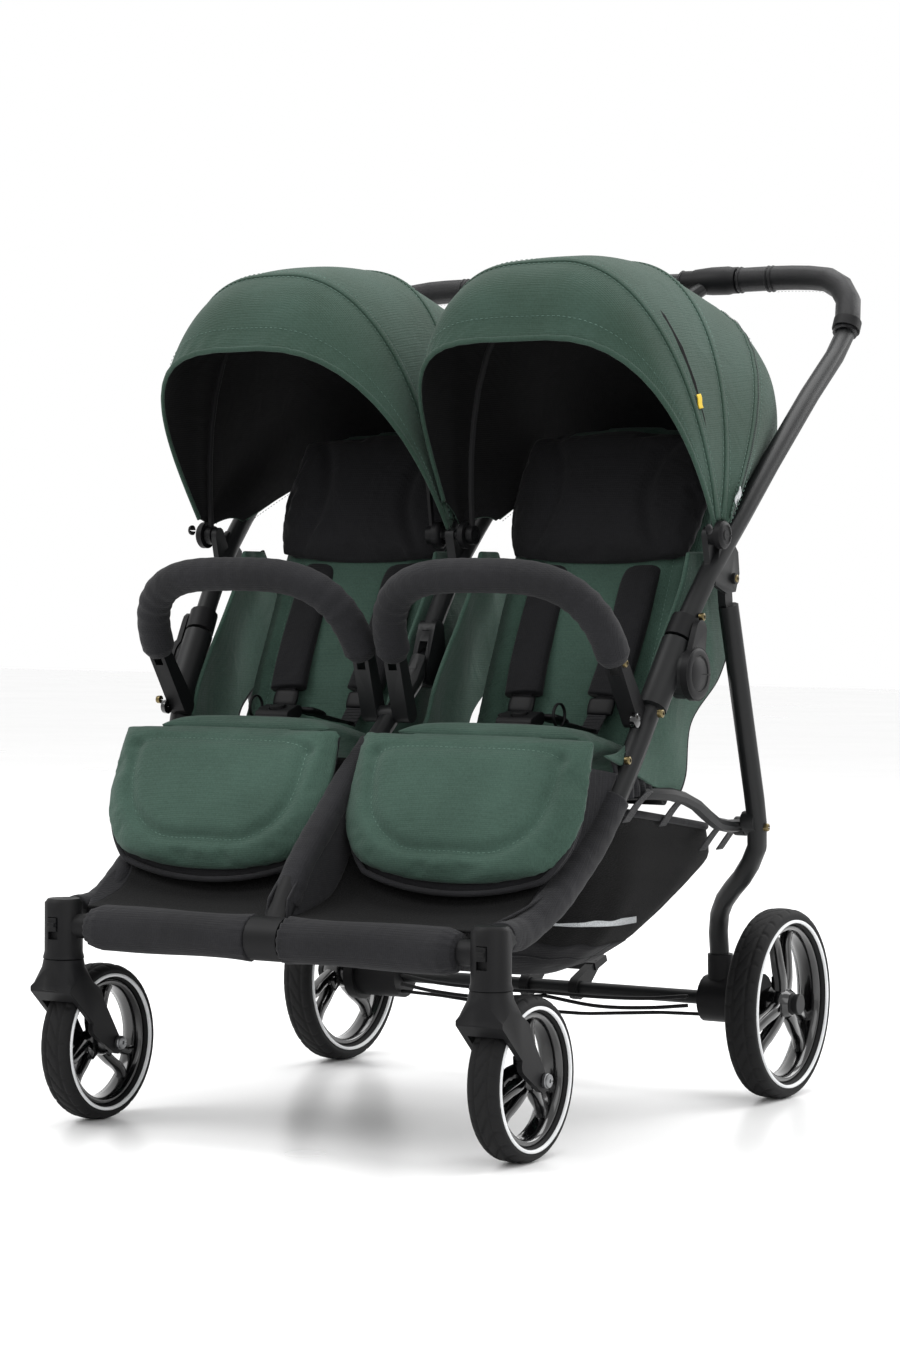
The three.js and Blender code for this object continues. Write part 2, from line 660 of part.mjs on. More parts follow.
// foot brake: a pedal on a yoke behind the axle, hinged on the axle
const PEDAL_HALF = 45;
function brakePedalSolid() {
  const pad = plate([[640, 150], [672, 158], [676, 150], [644, 140]], -PEDAL_HALF, PEDAL_HALF);
  const arms = [-1, 1].map((s) => {
    const x = s * (PEDAL_HALF - 8);
    return plate(capsule(REAR_AXLE, [652, 147], AXLE_R + 6, 6), x - 6, x + 6);
  });
  return cut(join(pad, ...arms), barX(-200, 200, REAR_AXLE, AXLE_R + SLIP, 16));
}
add('brake_pedal', brakePedalSolid(), 'plastic');

// ---- seat frame ----
const railFrontX = FRONT_TRACK + 23.5 - TUBE_R - RAIL_R - 3; // clear of the front tube's inner side
const railRun = [
  v3(railFrontX, RAIL_FRONT[0], RAIL_FRONT[1]),
  v3(310, 222 + TUBE_R, 404),
  v3(326, 296, 401),
  v3(RAIL_X, 350, 388),
  v3(RAIL_X, 420, 358),
  v3(RAIL_X, RAIL_BACK[0] - 8, RAIL_BACK[1] + 1),
];
function railSolid() {
  const run = tube(railRun, RAIL_R, 10, 8);
  const eye = barX(RAIL_X - RAIL_R + 1, RAIL_X + RAIL_R - 1, RAIL_BACK, 12, 16);
  const frontEye = barX(railFrontX - 6, railFrontX + 7, RAIL_FRONT, 12, 16);
  const hole = barX(RAIL_X - 30, RAIL_X + 30, RAIL_BACK, 4.5 + SLIP, 12);
  return cut(join(run, eye, frontEye), hole);
}
addPair('seat_rail', railSolid(), 'frame');
add('back_tube', barX(-316, 316, BACK_AXIS, BACK_TUBE_R, 16), 'frame');

const PAN_FRONT = [130, 480];
const PAN_BACK = [288, 444];
const PAN_THICK = 22;
const WING_SKIN = 4;
function seatShellSolid() {
  const slab = (from, half) =>
    plate(
      [from, PAN_BACK, [PAN_BACK[0], PAN_BACK[1] - PAN_THICK], [from[0], from[1] - PAN_THICK]],
      SEAT_X - half,
      SEAT_X + half,
    );
  const wing = [
    [246, 452],
    [262, 512],
    [290, 556],
    [320, 600],
    [350, 640],
    [402, 640],
    [408, 566],
    [352, 480],
    [330, 430],
    [280, 424],
  ];
  const wings = [-1, 1].map((s) => {
    const x = SEAT_X + s * (WING_HALF - WING_SKIN / 2);
    return plate(wing, x - WING_SKIN / 2, x + WING_SKIN / 2);
  });
  return join(slab(PAN_FRONT, PAN_HALF), slab([248, 453], WING_HALF), ...wings);
}
addPair('seat_shell', seatShellSolid(), 'green');

// basket: an open tray hung under the seats
const BASKET_SKIN = 4;
const BASKET_HALF = 228;
function basketSolid() {
  const outline = [
    [170, 352],
    [236, 332],
    [330, 318],
    [440, 312],
    [520, 306],
    [556, 250],
    [520, 184],
    [450, 160],
    [300, 158],
    [216, 180],
  ];
  const inner = [
    [140, 420],
    [184, 340],
    [226, 190],
    [304, 163],
    [446, 165],
    [514, 188],
    [548, 250],
    [510, 320],
    [500, 420],
  ];
  const half = BASKET_HALF;
  return cut(plate(outline, -half, half), plate(inner, -half + BASKET_SKIN, half - BASKET_SKIN));
}
add('basket', basketSolid(), 'black');

// ---- backs, legrests, bumper bars ----
const backPoint = (run, up) => {
  const a = rad(BACK_LEAN);
  return [
    BACK_AXIS[0] + run * Math.cos(a) - up * Math.sin(a),
    BACK_AXIS[1] + run * Math.sin(a) + up * Math.cos(a),
  ];
};
function backSolid() {
  const boardOutline = [
    backPoint(30, -4),
    backPoint(30, BACK_THICK - 4),
    backPoint(BACK_LEN, BACK_THICK - 4),
    backPoint(BACK_LEN, -4),
  ];
  const board = plate(
    boardOutline,
    SEAT_X - SEAT_HALF,
    SEAT_X + SEAT_HALF,
  );
  const head = plate(
    [backPoint(270, 18), backPoint(284, 46), backPoint(452, 46), backPoint(462, 18)],
    SEAT_X - SEAT_HALF + 4,
    SEAT_X + SEAT_HALF - 4,
  );
  const eyes = [-1, 1].map((s) => {
    const x = SEAT_X + s * (SEAT_HALF - 20);
    return plate(capsule(BACK_AXIS, backPoint(40, 6), BACK_TUBE_R + 5, 8), x - 9, x + 9);
  });
  return cut(join(board, head, ...eyes), barX(0, 400, BACK_AXIS, BACK_TUBE_R + SLIP, 16));
}
addPair('backrest', backSolid(), 'green');

function legrestSolid() {
  const shape = new THREE.Shape();
  const r = LEGREST_CORNER;
  const low = -LEGREST_LEN;
  const lowHalf = LEGREST_HALF - 8;
  shape.moveTo(LEGREST_HALF, 8);
  shape.lineTo(-LEGREST_HALF, 8);
  shape.lineTo(-lowHalf, low + r);
  shape.absarc(-lowHalf + r, low + r, r, Math.PI, 1.5 * Math.PI, false);
  shape.absarc(lowHalf - r, low + r, r, 1.5 * Math.PI, 2 * Math.PI, false);
  const options = { depth: LEGREST_THICK, bevelEnabled: false, curveSegments: 5 };
  const geometry = new THREE.ExtrudeGeometry(shape, options);
  geometry.translate(0, 0, -LEGREST_THICK / 2);
  geometry.rotateX(Math.PI / 2 - rad(LEGREST_LEAN));
  return placed(geometry, SEAT_X, ...LEGREST_AXIS);
}
addPair('legrest', legrestSolid(), 'green');

function bumperSolid() {
  const lean = rad(120);
  const points = [];
  const steps = 12;
  for (let i = 0; i <= steps; i += 1) {
    const a = rad(8 + (164 * i) / steps);
    const out = BUMPER_HALF * Math.sign(Math.cos(a)) * Math.abs(Math.cos(a)) ** 0.6;
    const rise = 14 + BUMPER_RISE * Math.sin(a) ** 0.6 - 34 * (1 - Math.sin(a));
    const y = BUMPER_PIVOT[0] + rise * Math.cos(lean);
    const z = BUMPER_PIVOT[1] + rise * Math.sin(lean);
    points.push(v3(SEAT_X + out, y, z));
  }
  const bar = tube(points, BUMPER_R, 18);
  const tongues = [-1, 1].map((s) => {
    const x = SEAT_X + s * BUMPER_HALF;
    const up = [BUMPER_PIVOT[0] - 22, BUMPER_PIVOT[1] + 40];
    return plate(capsule(BUMPER_PIVOT, up, 7.5, 9), x - BUMPER_TONGUE, x + BUMPER_TONGUE);
  });
  return join(bar, ...tongues);
}
addPair('bumper_bar', bumperSolid(), 'black');

// ---- canopies ----
// Arches about the pivot axis: a flattened half ellipse at each fan angle.
const FRONT_ANGLE = 106;
const REAR_ANGLE = 46;
const BOW_ANGLE = 97;
function archPoint(u, angle, radius, half, margin = 0.035) {
  const t = Math.PI * (margin + (1 - 2 * margin) * u);
  const c = Math.cos(t);
  const out = half * Math.sign(c) * Math.abs(c) ** 0.8;
  const rise = radius * Math.sin(t) ** 0.85;
  const a = rad(angle);
  return [CANOPY_X + out, CANOPY_PIVOT[0] + rise * Math.cos(a), CANOPY_PIVOT[1] + rise * Math.sin(a)];
}
function canopySolid() {
  const angleAt = (v) => FRONT_ANGLE + v * (REAR_ANGLE - FRONT_ANGLE);
  const fall = (v) => 184 * Math.max(0, 0.25 - v);
  const radiusAt = (v) => CANOPY_R - fall(v) + 30 * Math.sin(Math.PI * Math.min(v, 0.9));
  const outer = (u, v) => archPoint(u, angleAt(v), radiusAt(v), CANOPY_HALF);
  const inner = (u, v) => archPoint(u, angleAt(v), radiusAt(v) - CANOPY_SKIN, CANOPY_HALF - CANOPY_SKIN);
  return shell(outer, inner, 14, 6);
}
addPair('canopy', canopySolid(), 'green');

function bowSolid() {
  const points = [];
  for (let i = 0; i <= 24; i += 1) {
    const [x, y, z] = archPoint(i / 24, BOW_ANGLE, CANOPY_R - 18, BOW_HALF, 0.005);
    points.push(v3(x, y, z));
  }
  const bores = barX(0, 400, CANOPY_PIVOT, BOW_PIN_R + SLIP, 16);
  const eyes = [-1, 1].map((s) => {
    const x = CANOPY_X + s * BOW_HALF;
    return barX(x - 4.5, x + 4.5, CANOPY_PIVOT, BOW_PIN_R + 6, 16);
  });
  return cut(join(tube(points, 4, 18, 6), ...eyes), bores);
}
addPair('canopy_bow', bowSolid(), 'plastic');

// ---- harness ----
const BUCKLE = [206, 486];
const BUCKLE_HALF = 24;
const BUTTON_R = 10;
const BUTTON_TRAVEL = 2.5;
// a point this far up the button's axis from the floor of its pocket
const buttonAt = (run) => v3(SEAT_X, BUCKLE[0] + 2 - run * 0.132, BUCKLE[1] + run * 0.991);
function buckleSolid() {
  const outline = capsule([BUCKLE[0] - 8, BUCKLE[1] - 2], [BUCKLE[0] + 12, BUCKLE[1] + 4], 8, 8);
  const body = plate(outline, SEAT_X - BUCKLE_HALF, SEAT_X + BUCKLE_HALF);
  return cut(body, rod(buttonAt(0), buttonAt(30), BUTTON_R + SLIP));
}
addPair('harness_buckle', buckleSolid(), 'plastic');
addPair('harness_button', rod(buttonAt(BUTTON_TRAVEL + SLIP), buttonAt(12), BUTTON_R), 'plastic');

// brake cable: one line from housing to housing, held under the pedal's yoke
const CABLE_R = 2.5;
const cableHalf = [
  v3(0, WHEELBASE + 4, REAR_R - 34),
  v3(50, WHEELBASE + 3, REAR_R - 33),
  v3(110, WHEELBASE - 4, REAR_R - 27),
  v3(170, WHEELBASE - 10, REAR_R - 22),
  v3(225, WHEELBASE - 12, REAR_R - 20),
];
const cableRun = [...cableHalf.slice(1).map((p) => v3(-p.x, p.y, p.z)).reverse(), ...cableHalf];
add('brake_cable', tube(cableRun, CABLE_R, 24, 8), 'plastic');

// ---- origin under the middle of the box ----
const frontEnd = casterY - crownR;
const backEnd = HANDLE[0] + GRIP_R;
stroller.position.y = -(frontEnd + backEnd) / 2;
stroller.updateMatrixWorld(true);

export default stroller;
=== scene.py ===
import json
import math

import bmesh
import bpy
import numpy as np
from mathutils import Matrix, Vector
from mathutils.bvhtree import BVHTree


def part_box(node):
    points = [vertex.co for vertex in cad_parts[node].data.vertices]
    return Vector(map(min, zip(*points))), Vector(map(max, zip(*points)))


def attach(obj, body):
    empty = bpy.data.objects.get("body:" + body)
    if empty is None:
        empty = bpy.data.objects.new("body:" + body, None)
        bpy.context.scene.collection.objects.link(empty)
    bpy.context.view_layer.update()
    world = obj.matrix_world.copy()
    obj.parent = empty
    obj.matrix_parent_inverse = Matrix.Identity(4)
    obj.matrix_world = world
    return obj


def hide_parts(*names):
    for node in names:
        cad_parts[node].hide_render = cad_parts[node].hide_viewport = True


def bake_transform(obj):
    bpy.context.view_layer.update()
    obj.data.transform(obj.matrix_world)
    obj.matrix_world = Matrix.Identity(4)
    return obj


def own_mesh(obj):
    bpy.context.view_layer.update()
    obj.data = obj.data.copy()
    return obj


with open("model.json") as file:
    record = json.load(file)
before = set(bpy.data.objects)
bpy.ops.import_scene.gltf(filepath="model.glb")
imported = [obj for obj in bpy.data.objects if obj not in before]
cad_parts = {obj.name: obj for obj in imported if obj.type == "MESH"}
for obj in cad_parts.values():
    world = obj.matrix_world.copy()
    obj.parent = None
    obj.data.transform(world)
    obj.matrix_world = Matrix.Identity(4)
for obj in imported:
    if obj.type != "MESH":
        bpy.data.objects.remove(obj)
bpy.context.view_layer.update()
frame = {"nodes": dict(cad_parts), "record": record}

bl_info = {
    "name": "Twin pushchair",
    "version": (1, 0, 0),
    "blender": (4, 5, 0),
    "location": "View3D > Sidebar > Pushchair",
    "description": "Builds the covers, wheels, harness and finishes round a twin pushchair frame",
    "category": "Object",
}

# ---- places, in millimetres from the front axle, except AXLE_Y, which is in metres ----
MM = 0.001
AXLE_Y = float(np.mean([corner[1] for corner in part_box("front_axle_bolt_right")]))
SEAT_X = 172
BACK_LEAN = math.radians(65)
BACK_AXIS = (306, 394)
LEGREST_LEAN = math.radians(21)
CANOPY_PIVOT = (339, 710)
CROSSBAR = (-67, 240)
HANDLE = (768, 1053)
FRONT_TRACK = 293.5
REAR_TRACK = 327.5
WHEELBASE = 606
SIDES = (("right", 1), ("left", -1))


def at(points):
    """Millimetres (x, y from the front axle, z) as metres in the frame's own axes."""
    metres = np.asarray(points, float) * MM
    metres[..., 1] += AXLE_Y
    return metres


# ---- curves and surfaces ----
def smooth(points, count):
    """A cubic through the points, each point's slope being that of its neighbours, at even arc steps."""
    p = np.asarray(points, float)
    knots = np.r_[0, np.cumsum(np.linalg.norm(np.diff(p, axis=0), axis=1) ** 0.5)]
    slope = np.gradient(p, knots, axis=0)

    def curve(s):
        k = np.clip(np.searchsorted(knots, s, side="right") - 1, 0, len(p) - 2)
        h = (knots[k + 1] - knots[k])[:, None]
        t = (s - knots[k])[:, None] / h
        return ((2 * t**3 - 3 * t**2 + 1) * p[k] + (t**3 - 2 * t**2 + t) * h * slope[k]
                + (3 * t**2 - 2 * t**3) * p[k + 1] + (t**3 - t**2) * h * slope[k + 1])

    fine = np.linspace(0, knots[-1], 40 * len(p))
    length = np.r_[0, np.cumsum(np.linalg.norm(np.diff(curve(fine), axis=0), axis=1))]
    return curve(np.interp(np.linspace(0, length[-1], count), length, fine))


def oval(wide, high, count=24, power=2.0):
    """A closed superellipse: cosine and sine each raised to two over the power."""
    t = np.linspace(0, 2 * np.pi, count, endpoint=False)
    c, s = np.cos(t), np.sin(t)
    return np.stack([wide / 2 * np.sign(c) * np.abs(c) ** (2 / power),
                     high / 2 * np.sign(s) * np.abs(s) ** (2 / power)], 1)


def sweep(path, section, up=(1, 0, 0), swell=None):
    """The section carried square to the path, its first axis held towards `up`; swell scales each ring."""
    tangent = np.gradient(path, axis=0)
    tangent /= np.linalg.norm(tangent, axis=1)[:, None]
    first = np.asarray(up, float) - (tangent @ np.asarray(up, float))[:, None] * tangent
    first /= np.linalg.norm(first, axis=1)[:, None]
    second = np.cross(tangent, first)
    size = np.ones(len(path)) if swell is None else np.asarray(swell)
    rings = section[None] * size.reshape(len(path), -1, 1)
    return path[:, None] + rings[..., :1] * first[:, None] + rings[..., 1:] * second[:, None]


def lathe(profile, centre, count=64):
    """A profile of (radius, x) in millimetres turned about the X axis through centre (y, z)."""
    t = np.linspace(0, 2 * np.pi, count, endpoint=False)[:, None]
    r, x = np.asarray(profile, float).T
    grid = np.stack([np.broadcast_to(x, (count, len(x))), centre[0] + r * np.cos(t),
                     centre[1] + r * np.sin(t)], 2)
    return at(grid)


def pad(width, length, thick, crown=0.0, low_corner=0.15, top_corner=0.15, count=(40, 56)):
    """A crowned pad: two sheets over a square whose corners are drawn in, both falling to one rim."""
    u = np.sin(np.linspace(-1, 1, count[0]) * np.pi / 2)
    v = np.sin(np.linspace(-1, 1, count[1]) * np.pi / 2)
    u, v = np.meshgrid(u, v)
    corner = np.where(v < 0, low_corner, top_corner)
    x = width / 2 * u * np.sqrt(1 - corner * v**2 / 2)
    y = length / 2 * v * np.sqrt(1 - corner * u**2 / 2)
    rim = np.sqrt(np.clip(1 - np.abs(u)**6, 0, 1) * np.clip(1 - np.abs(v)**6, 0, 1))
    top = thick / 2 * rim + crown * (1 - u**2) * (1 - v**2)
    return np.stack([x, y, top], 2), np.stack([x, y, -thick / 2 * rim], 2)


def placed(local, origin, along, out):
    """Local (x, along, out) millimetres set on an origin with its two side-view directions."""
    a = np.array([0, *along])
    o = np.array([0, *out])
    return at(np.asarray(origin, float) + local[..., :1] * (1, 0, 0) + local[..., 1:2] * a + local[..., 2:]
              * o)


# ---- objects ----
def mesh_object(name, points, faces, material, sharp=None):
    mesh = bpy.data.meshes.new(name)
    mesh.from_pydata(points, [], faces)
    mesh.polygons.foreach_set("use_smooth", np.ones(len(mesh.polygons), bool))
    made = bpy.data.objects.new(name, mesh)
    bpy.context.scene.collection.objects.link(made)
    mesh.materials.append(material)
    if sharp is not None:
        mesh.set_sharp_from_angle(angle=math.radians(sharp))
    return made


def tidy(made):
    """Merges doubled points and points the faces outwards."""
    work = bmesh.new()
    work.from_mesh(made.data)
    bmesh.ops.remove_doubles(work, verts=work.verts, dist=2e-6)
    bmesh.ops.recalc_face_normals(work, faces=work.faces)
    work.to_mesh(made.data)
    work.free()
    made.data.polygons.foreach_set("use_smooth", np.ones(len(made.data.polygons), bool))
    return made


def surface(name, grid, material, wrap=False, closed=False, sharp=None):
    """A grid as quads; wrap joins its last column to its first, closed draws each end to a point."""
    if closed:
        ends = [np.broadcast_to(row.mean(0), row.shape) for row in (grid[0], grid[-1])]
        grid = np.concatenate([ends[0][None], grid, ends[1][None]])
    rows, columns = grid.shape[:2]
    index = np.arange(rows * columns).reshape(rows, columns)
    if wrap:
        index = np.concatenate([index, index[:, :1]], 1)
    quads = np.stack([index[:-1, :-1], index[:-1, 1:], index[1:, 1:], index[1:, :-1]], 2).reshape(-1, 4)
    made = mesh_object(name, grid.reshape(-1, 3), quads.tolist(), material)
    if closed or wrap:
        tidy(made)
    if sharp is not None:
        made.data.set_sharp_from_angle(angle=math.radians(sharp))
    return made


def mirrored(made, name):
    """The same piece for the other hand, with its faces turned to point outwards again."""
    copy = made.copy()
    copy.data = made.data.copy()
    copy.name = name
    bpy.context.scene.collection.objects.link(copy)
    copy.data.transform(Matrix.Scale(-1, 4, (1, 0, 0)))
    copy.data.flip_normals()
    return copy


def pair(made, body, replaced=None):
    """Puts a right hand piece on its body and its mirror image on the other side's body."""
    left = mirrored(made, made.name.replace("right", "left"))
    for piece, side in ((made, "right"), (left, "left")):
        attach(piece, body.format(side=side))
        if replaced:
            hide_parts(replaced.format(side=side))
    return made, left


def fitted(name, grid, finish, body, slot=None, **shape):
    """A closed piece of one finish, on its body at each hand."""
    return pair(tidy(surface(name, grid, FINISH[finish], **shape)), body, None)


def thickened(made, metres, inner=0, offset=-1):
    solid = made.modifiers.new("wall", "SOLIDIFY")
    solid.thickness = metres
    solid.offset = offset
    solid.material_offset = inner
    return made


def cut_sheet(pieces, grid):
    """Returns the pieces as they are; the grid is not read."""
    return pieces


def many(name, centres, directions, normals, size, material):
    """A row of stitches: each is a flat six sided bar along its direction, lying on its normal."""
    t = np.array([[-1, 0, 0], [-0.6, 1, 0.2], [0.6, 1, 0.2], [1, 0, 0], [0.6, -1, 0.2], [-0.6, -1, 0.2],
                  [-0.6, 0, 1], [0.6, 0, 1]])
    faces = np.array([[0, 1, 6], [5, 0, 6], [1, 2, 7], [1, 7, 6], [2, 3, 7], [3, 4, 7], [4, 5, 6], [4, 6, 7]])
    d = directions / np.linalg.norm(directions, axis=1)[:, None]
    n = normals / np.linalg.norm(normals, axis=1)[:, None]
    s = np.cross(n, d)
    spots = t * np.asarray(size) / 2
    points = (centres[:, None] + spots[None, :, :1] * d[:, None] + spots[None, :, 1:2] * s[:, None]
              + spots[None, :, 2:] * n[:, None])
    index = faces[None] + (np.arange(len(centres)) * len(t))[:, None, None]
    return mesh_object(name, points.reshape(-1, 3), index.reshape(-1, 3).tolist(), material)


def stitches(name, path, normals, material, spacing=6.5, size=(4.2, 1.0, 0.7)):
    """Stitches at an even spacing in millimetres along a path that lies on a cloth."""
    length = np.r_[0, np.cumsum(np.linalg.norm(np.diff(path, axis=0), axis=1))]
    s = np.arange(spacing * MM / 2, length[-1], spacing * MM)
    centre = np.stack([np.interp(s, length, path[:, k]) for k in range(3)], 1)
    ahead = np.stack([np.interp(s + 1e-3, length, path[:, k]) for k in range(3)], 1)
    back = np.stack([np.interp(s - 1e-3, length, path[:, k]) for k in range(3)], 1)
    normal = np.stack([np.interp(s, length, normals[:, k]) for k in range(3)], 1)
    return many(name, centre, ahead - back, normal, np.asarray(size) * MM, material)


def laid(piece, path, direction, lift=0.0003):
    """Drops a path onto a piece against `direction`, and returns it with the normals found there."""
    tree = BVHTree.FromObject(piece, bpy.context.evaluated_depsgraph_get())
    way = Vector(direction).normalized()
    spots, normals = [], []
    for point in path:
        hit, normal, _, _ = tree.ray_cast(Vector(point) + way * 0.08, -way, 0.2)
        if hit is None:
            hit, normal, _, _ = tree.find_nearest(Vector(point))
        if normal.dot(way) < 0:
            normal = -normal
        spots.append(hit + normal * lift)
        normals.append(normal)
    return np.array(spots), np.array(normals)


def pressed(piece, path, depth, width, way):
    """A sewn channel: points within reach of the path sink by depth times a bell of their distance."""
    mesh = piece.data
    spots = np.empty(len(mesh.vertices) * 3)
    mesh.vertices.foreach_get("co", spots)
    spots = spots.reshape(-1, 3)
    way = np.asarray(way, float) / np.linalg.norm(way)
    normals = np.empty(len(spots) * 3)
    mesh.vertex_normals.foreach_get("vector", normals)
    facing = np.clip(normals.reshape(-1, 3) @ way, 0, 1)
    nearest = np.full(len(spots), 1e9)
    for point in path:
        gap = spots - point
        gap = gap - (gap @ way)[:, None] * way
        nearest = np.minimum(nearest, (gap**2).sum(1))
    spots -= (depth * np.exp(-nearest / width**2) * facing)[:, None] * way
    mesh.vertices.foreach_set("co", spots.ravel())
    mesh.update()


def puffed(piece, cap, voxel=0.0055):
    """Fills a cover as stuffing does: an even pressure swells the cloth, and no point moves past cap."""
    scene = bpy.context.scene
    remesh = piece.modifiers.new("even", "REMESH")
    remesh.mode = "VOXEL"
    remesh.voxel_size = voxel
    graph = bpy.context.evaluated_depsgraph_get()
    even = bpy.data.meshes.new_from_object(piece.evaluated_get(graph))
    material = piece.data.materials[0]
    piece.modifiers.clear()
    piece.data = even
    even.materials.clear()
    even.materials.append(material)
    cloth = piece.modifiers.new("cloth", "CLOTH")
    cloth.settings.use_pressure = True
    cloth.settings.uniform_pressure_force = 4
    cloth.settings.quality = 4
    cloth.settings.tension_stiffness = 25
    cloth.settings.bending_stiffness = 0.6
    cloth.settings.effector_weights.gravity = 0
    cloth.collision_settings.use_collision = False
    cloth.point_cache.frame_start = 1
    cloth.point_cache.frame_end = 20
    rest = np.empty(len(even.vertices) * 3)
    even.vertices.foreach_get("co", rest)
    for step in range(1, 21):
        scene.frame_set(step)
    graph = bpy.context.evaluated_depsgraph_get()
    blown = piece.evaluated_get(graph).to_mesh()
    moved = np.empty(len(blown.vertices) * 3)
    blown.vertices.foreach_get("co", moved)
    piece.evaluated_get(graph).to_mesh_clear()
    piece.modifiers.clear()
    scene.frame_set(1)
    shift = (moved - rest).reshape(-1, 3)
    size = np.linalg.norm(shift, axis=1)[:, None]
    shift *= np.minimum(1, cap / np.maximum(size, 1e-9))
    even.vertices.foreach_set("co", (rest.reshape(-1, 3) + shift).ravel())
    even.polygons.foreach_set("use_smooth", np.ones(len(even.polygons), bool))
    even.update()
    return piece


def subdivided(piece, levels=1):
    fine = piece.modifiers.new("fine", "SUBSURF")
    fine.levels = levels
    fine.render_levels = levels
    return piece


# ---- materials ----
def linear(code):
    """An sRGB hex colour as linear light."""
    parts = [int(code[i:i + 2], 16) / 255 for i in (1, 3, 5)]
    return tuple(c / 12.92 if c <= 0.04045 else ((c + 0.055) / 1.055) ** 2.4 for c in parts) + (1.0,)


def node(tree, kind, inputs=None, **settings):
    """Adds one node, with its settings, and its inputs set or linked."""
    made = tree.nodes.new(kind)
    for key, value in settings.items():
        setattr(made, key, value)
    for socket, value in (inputs or {}).items():
        if isinstance(value, bpy.types.NodeSocket):
            tree.links.new(value, made.inputs[socket])
        else:
            made.inputs[socket].default_value = value
    return made


def blank(name, shader):
    """A new material with its shader's uniform values set straight on the sockets."""
    made = bpy.data.materials.new(name)
    made.use_nodes = True
    tree = made.node_tree
    tree.nodes.clear()
    bsdf = node(tree, "ShaderNodeBsdfPrincipled", shader)
    node(tree, "ShaderNodeOutputMaterial", {"Surface": bsdf.outputs["BSDF"]})
    where = node(tree, "ShaderNodeTexCoord").outputs["Object"]
    return made, tree, bsdf, where


def speckled(name, dark, light, rough, grain_mm, bump, shader=None, mottle_mm=60):
    """Moulded or sprayed skins: slow mottling in colour, a fine grain in height, uneven roughness."""
    made, tree, bsdf, where = blank(name, shader or {})
    slow = node(tree, "ShaderNodeTexNoise", {"Vector": where, "Scale": 1000 / mottle_mm, "Detail": 4.0})
    fine = node(tree, "ShaderNodeTexNoise", {"Vector": where, "Scale": 1000 / grain_mm, "Detail": 2.0})
    blend = node(tree, "ShaderNodeValToRGB", {"Fac": slow.outputs["Fac"]})
    blend.color_ramp.elements[0].position = 0.35
    blend.color_ramp.elements[1].position = 0.7
    blend.color_ramp.elements[0].color = linear(dark)
    blend.color_ramp.elements[1].color = linear(light)
    spread = node(tree, "ShaderNodeMapRange", {"Value": slow.outputs["Fac"], "To Min": rough[0],
                                               "To Max": rough[1]})
    relief = node(tree, "ShaderNodeBump", {"Height": fine.outputs["Fac"], "Strength": bump,
                                           "Distance": 0.0004})
    tree.links.new(blend.outputs["Color"], bsdf.inputs["Base Color"])
    tree.links.new(spread.outputs["Result"], bsdf.inputs["Roughness"])
    tree.links.new(relief.outputs["Normal"], bsdf.inputs["Normal"])
    return made


def woven(name, dark, light, pitch_mm, bump, sheen=0.06, crease=0.35, rough=0.88):
    """Woven cloth: crossed threads at the pitch in each axis, faint slubs, soft creases a few cm long."""
    made, tree, bsdf, where = blank(name, {"Roughness": rough, "Sheen Weight": sheen, "Sheen Roughness": 0.5,
                                           "Specular IOR Level": 0.25})
    threads = None
    for axis in ("X", "Y", "Z"):
        wave = node(tree, "ShaderNodeTexWave", {"Vector": where, "Scale": 314 / pitch_mm, "Distortion": 0.6,
                                                "Detail": 1.0}, bands_direction=axis)
        if threads is None:
            threads = wave.outputs["Fac"]
        else:
            threads = node(tree, "ShaderNodeMath", {0: threads, 1: wave.outputs["Fac"]},
                           operation="ADD").outputs[0]
    slub = node(tree, "ShaderNodeTexNoise", {"Vector": where, "Scale": 420.0, "Detail": 3.0,
                                             "Roughness": 0.7})
    slow = node(tree, "ShaderNodeTexNoise", {"Vector": where, "Scale": 9.0, "Detail": 5.0})
    mix = node(tree, "ShaderNodeMath", {0: slub.outputs["Fac"], 1: slow.outputs["Fac"]}, operation="ADD")
    tone = node(tree, "ShaderNodeMapRange", {"Value": mix.outputs[0], "From Min": 0.7, "From Max": 1.3})
    ramp = node(tree, "ShaderNodeValToRGB", {"Fac": tone.outputs["Result"]})
    ramp.color_ramp.elements[0].color = linear(dark)
    ramp.color_ramp.elements[1].color = linear(light)
    crumple = node(tree, "ShaderNodeTexNoise", {"Vector": where, "Scale": 26.0, "Detail": 2.0,
                                                "Distortion": 0.8})
    low = node(tree, "ShaderNodeBump", {"Height": crumple.outputs["Fac"], "Strength": crease,
                                        "Distance": 0.006})
    relief = node(tree, "ShaderNodeBump", {"Height": threads, "Strength": bump, "Distance": 0.0006,
                                           "Normal": low.outputs["Normal"]})
    tree.links.new(ramp.outputs["Color"], bsdf.inputs["Base Color"])
    tree.links.new(relief.outputs["Normal"], bsdf.inputs["Normal"])
    return made


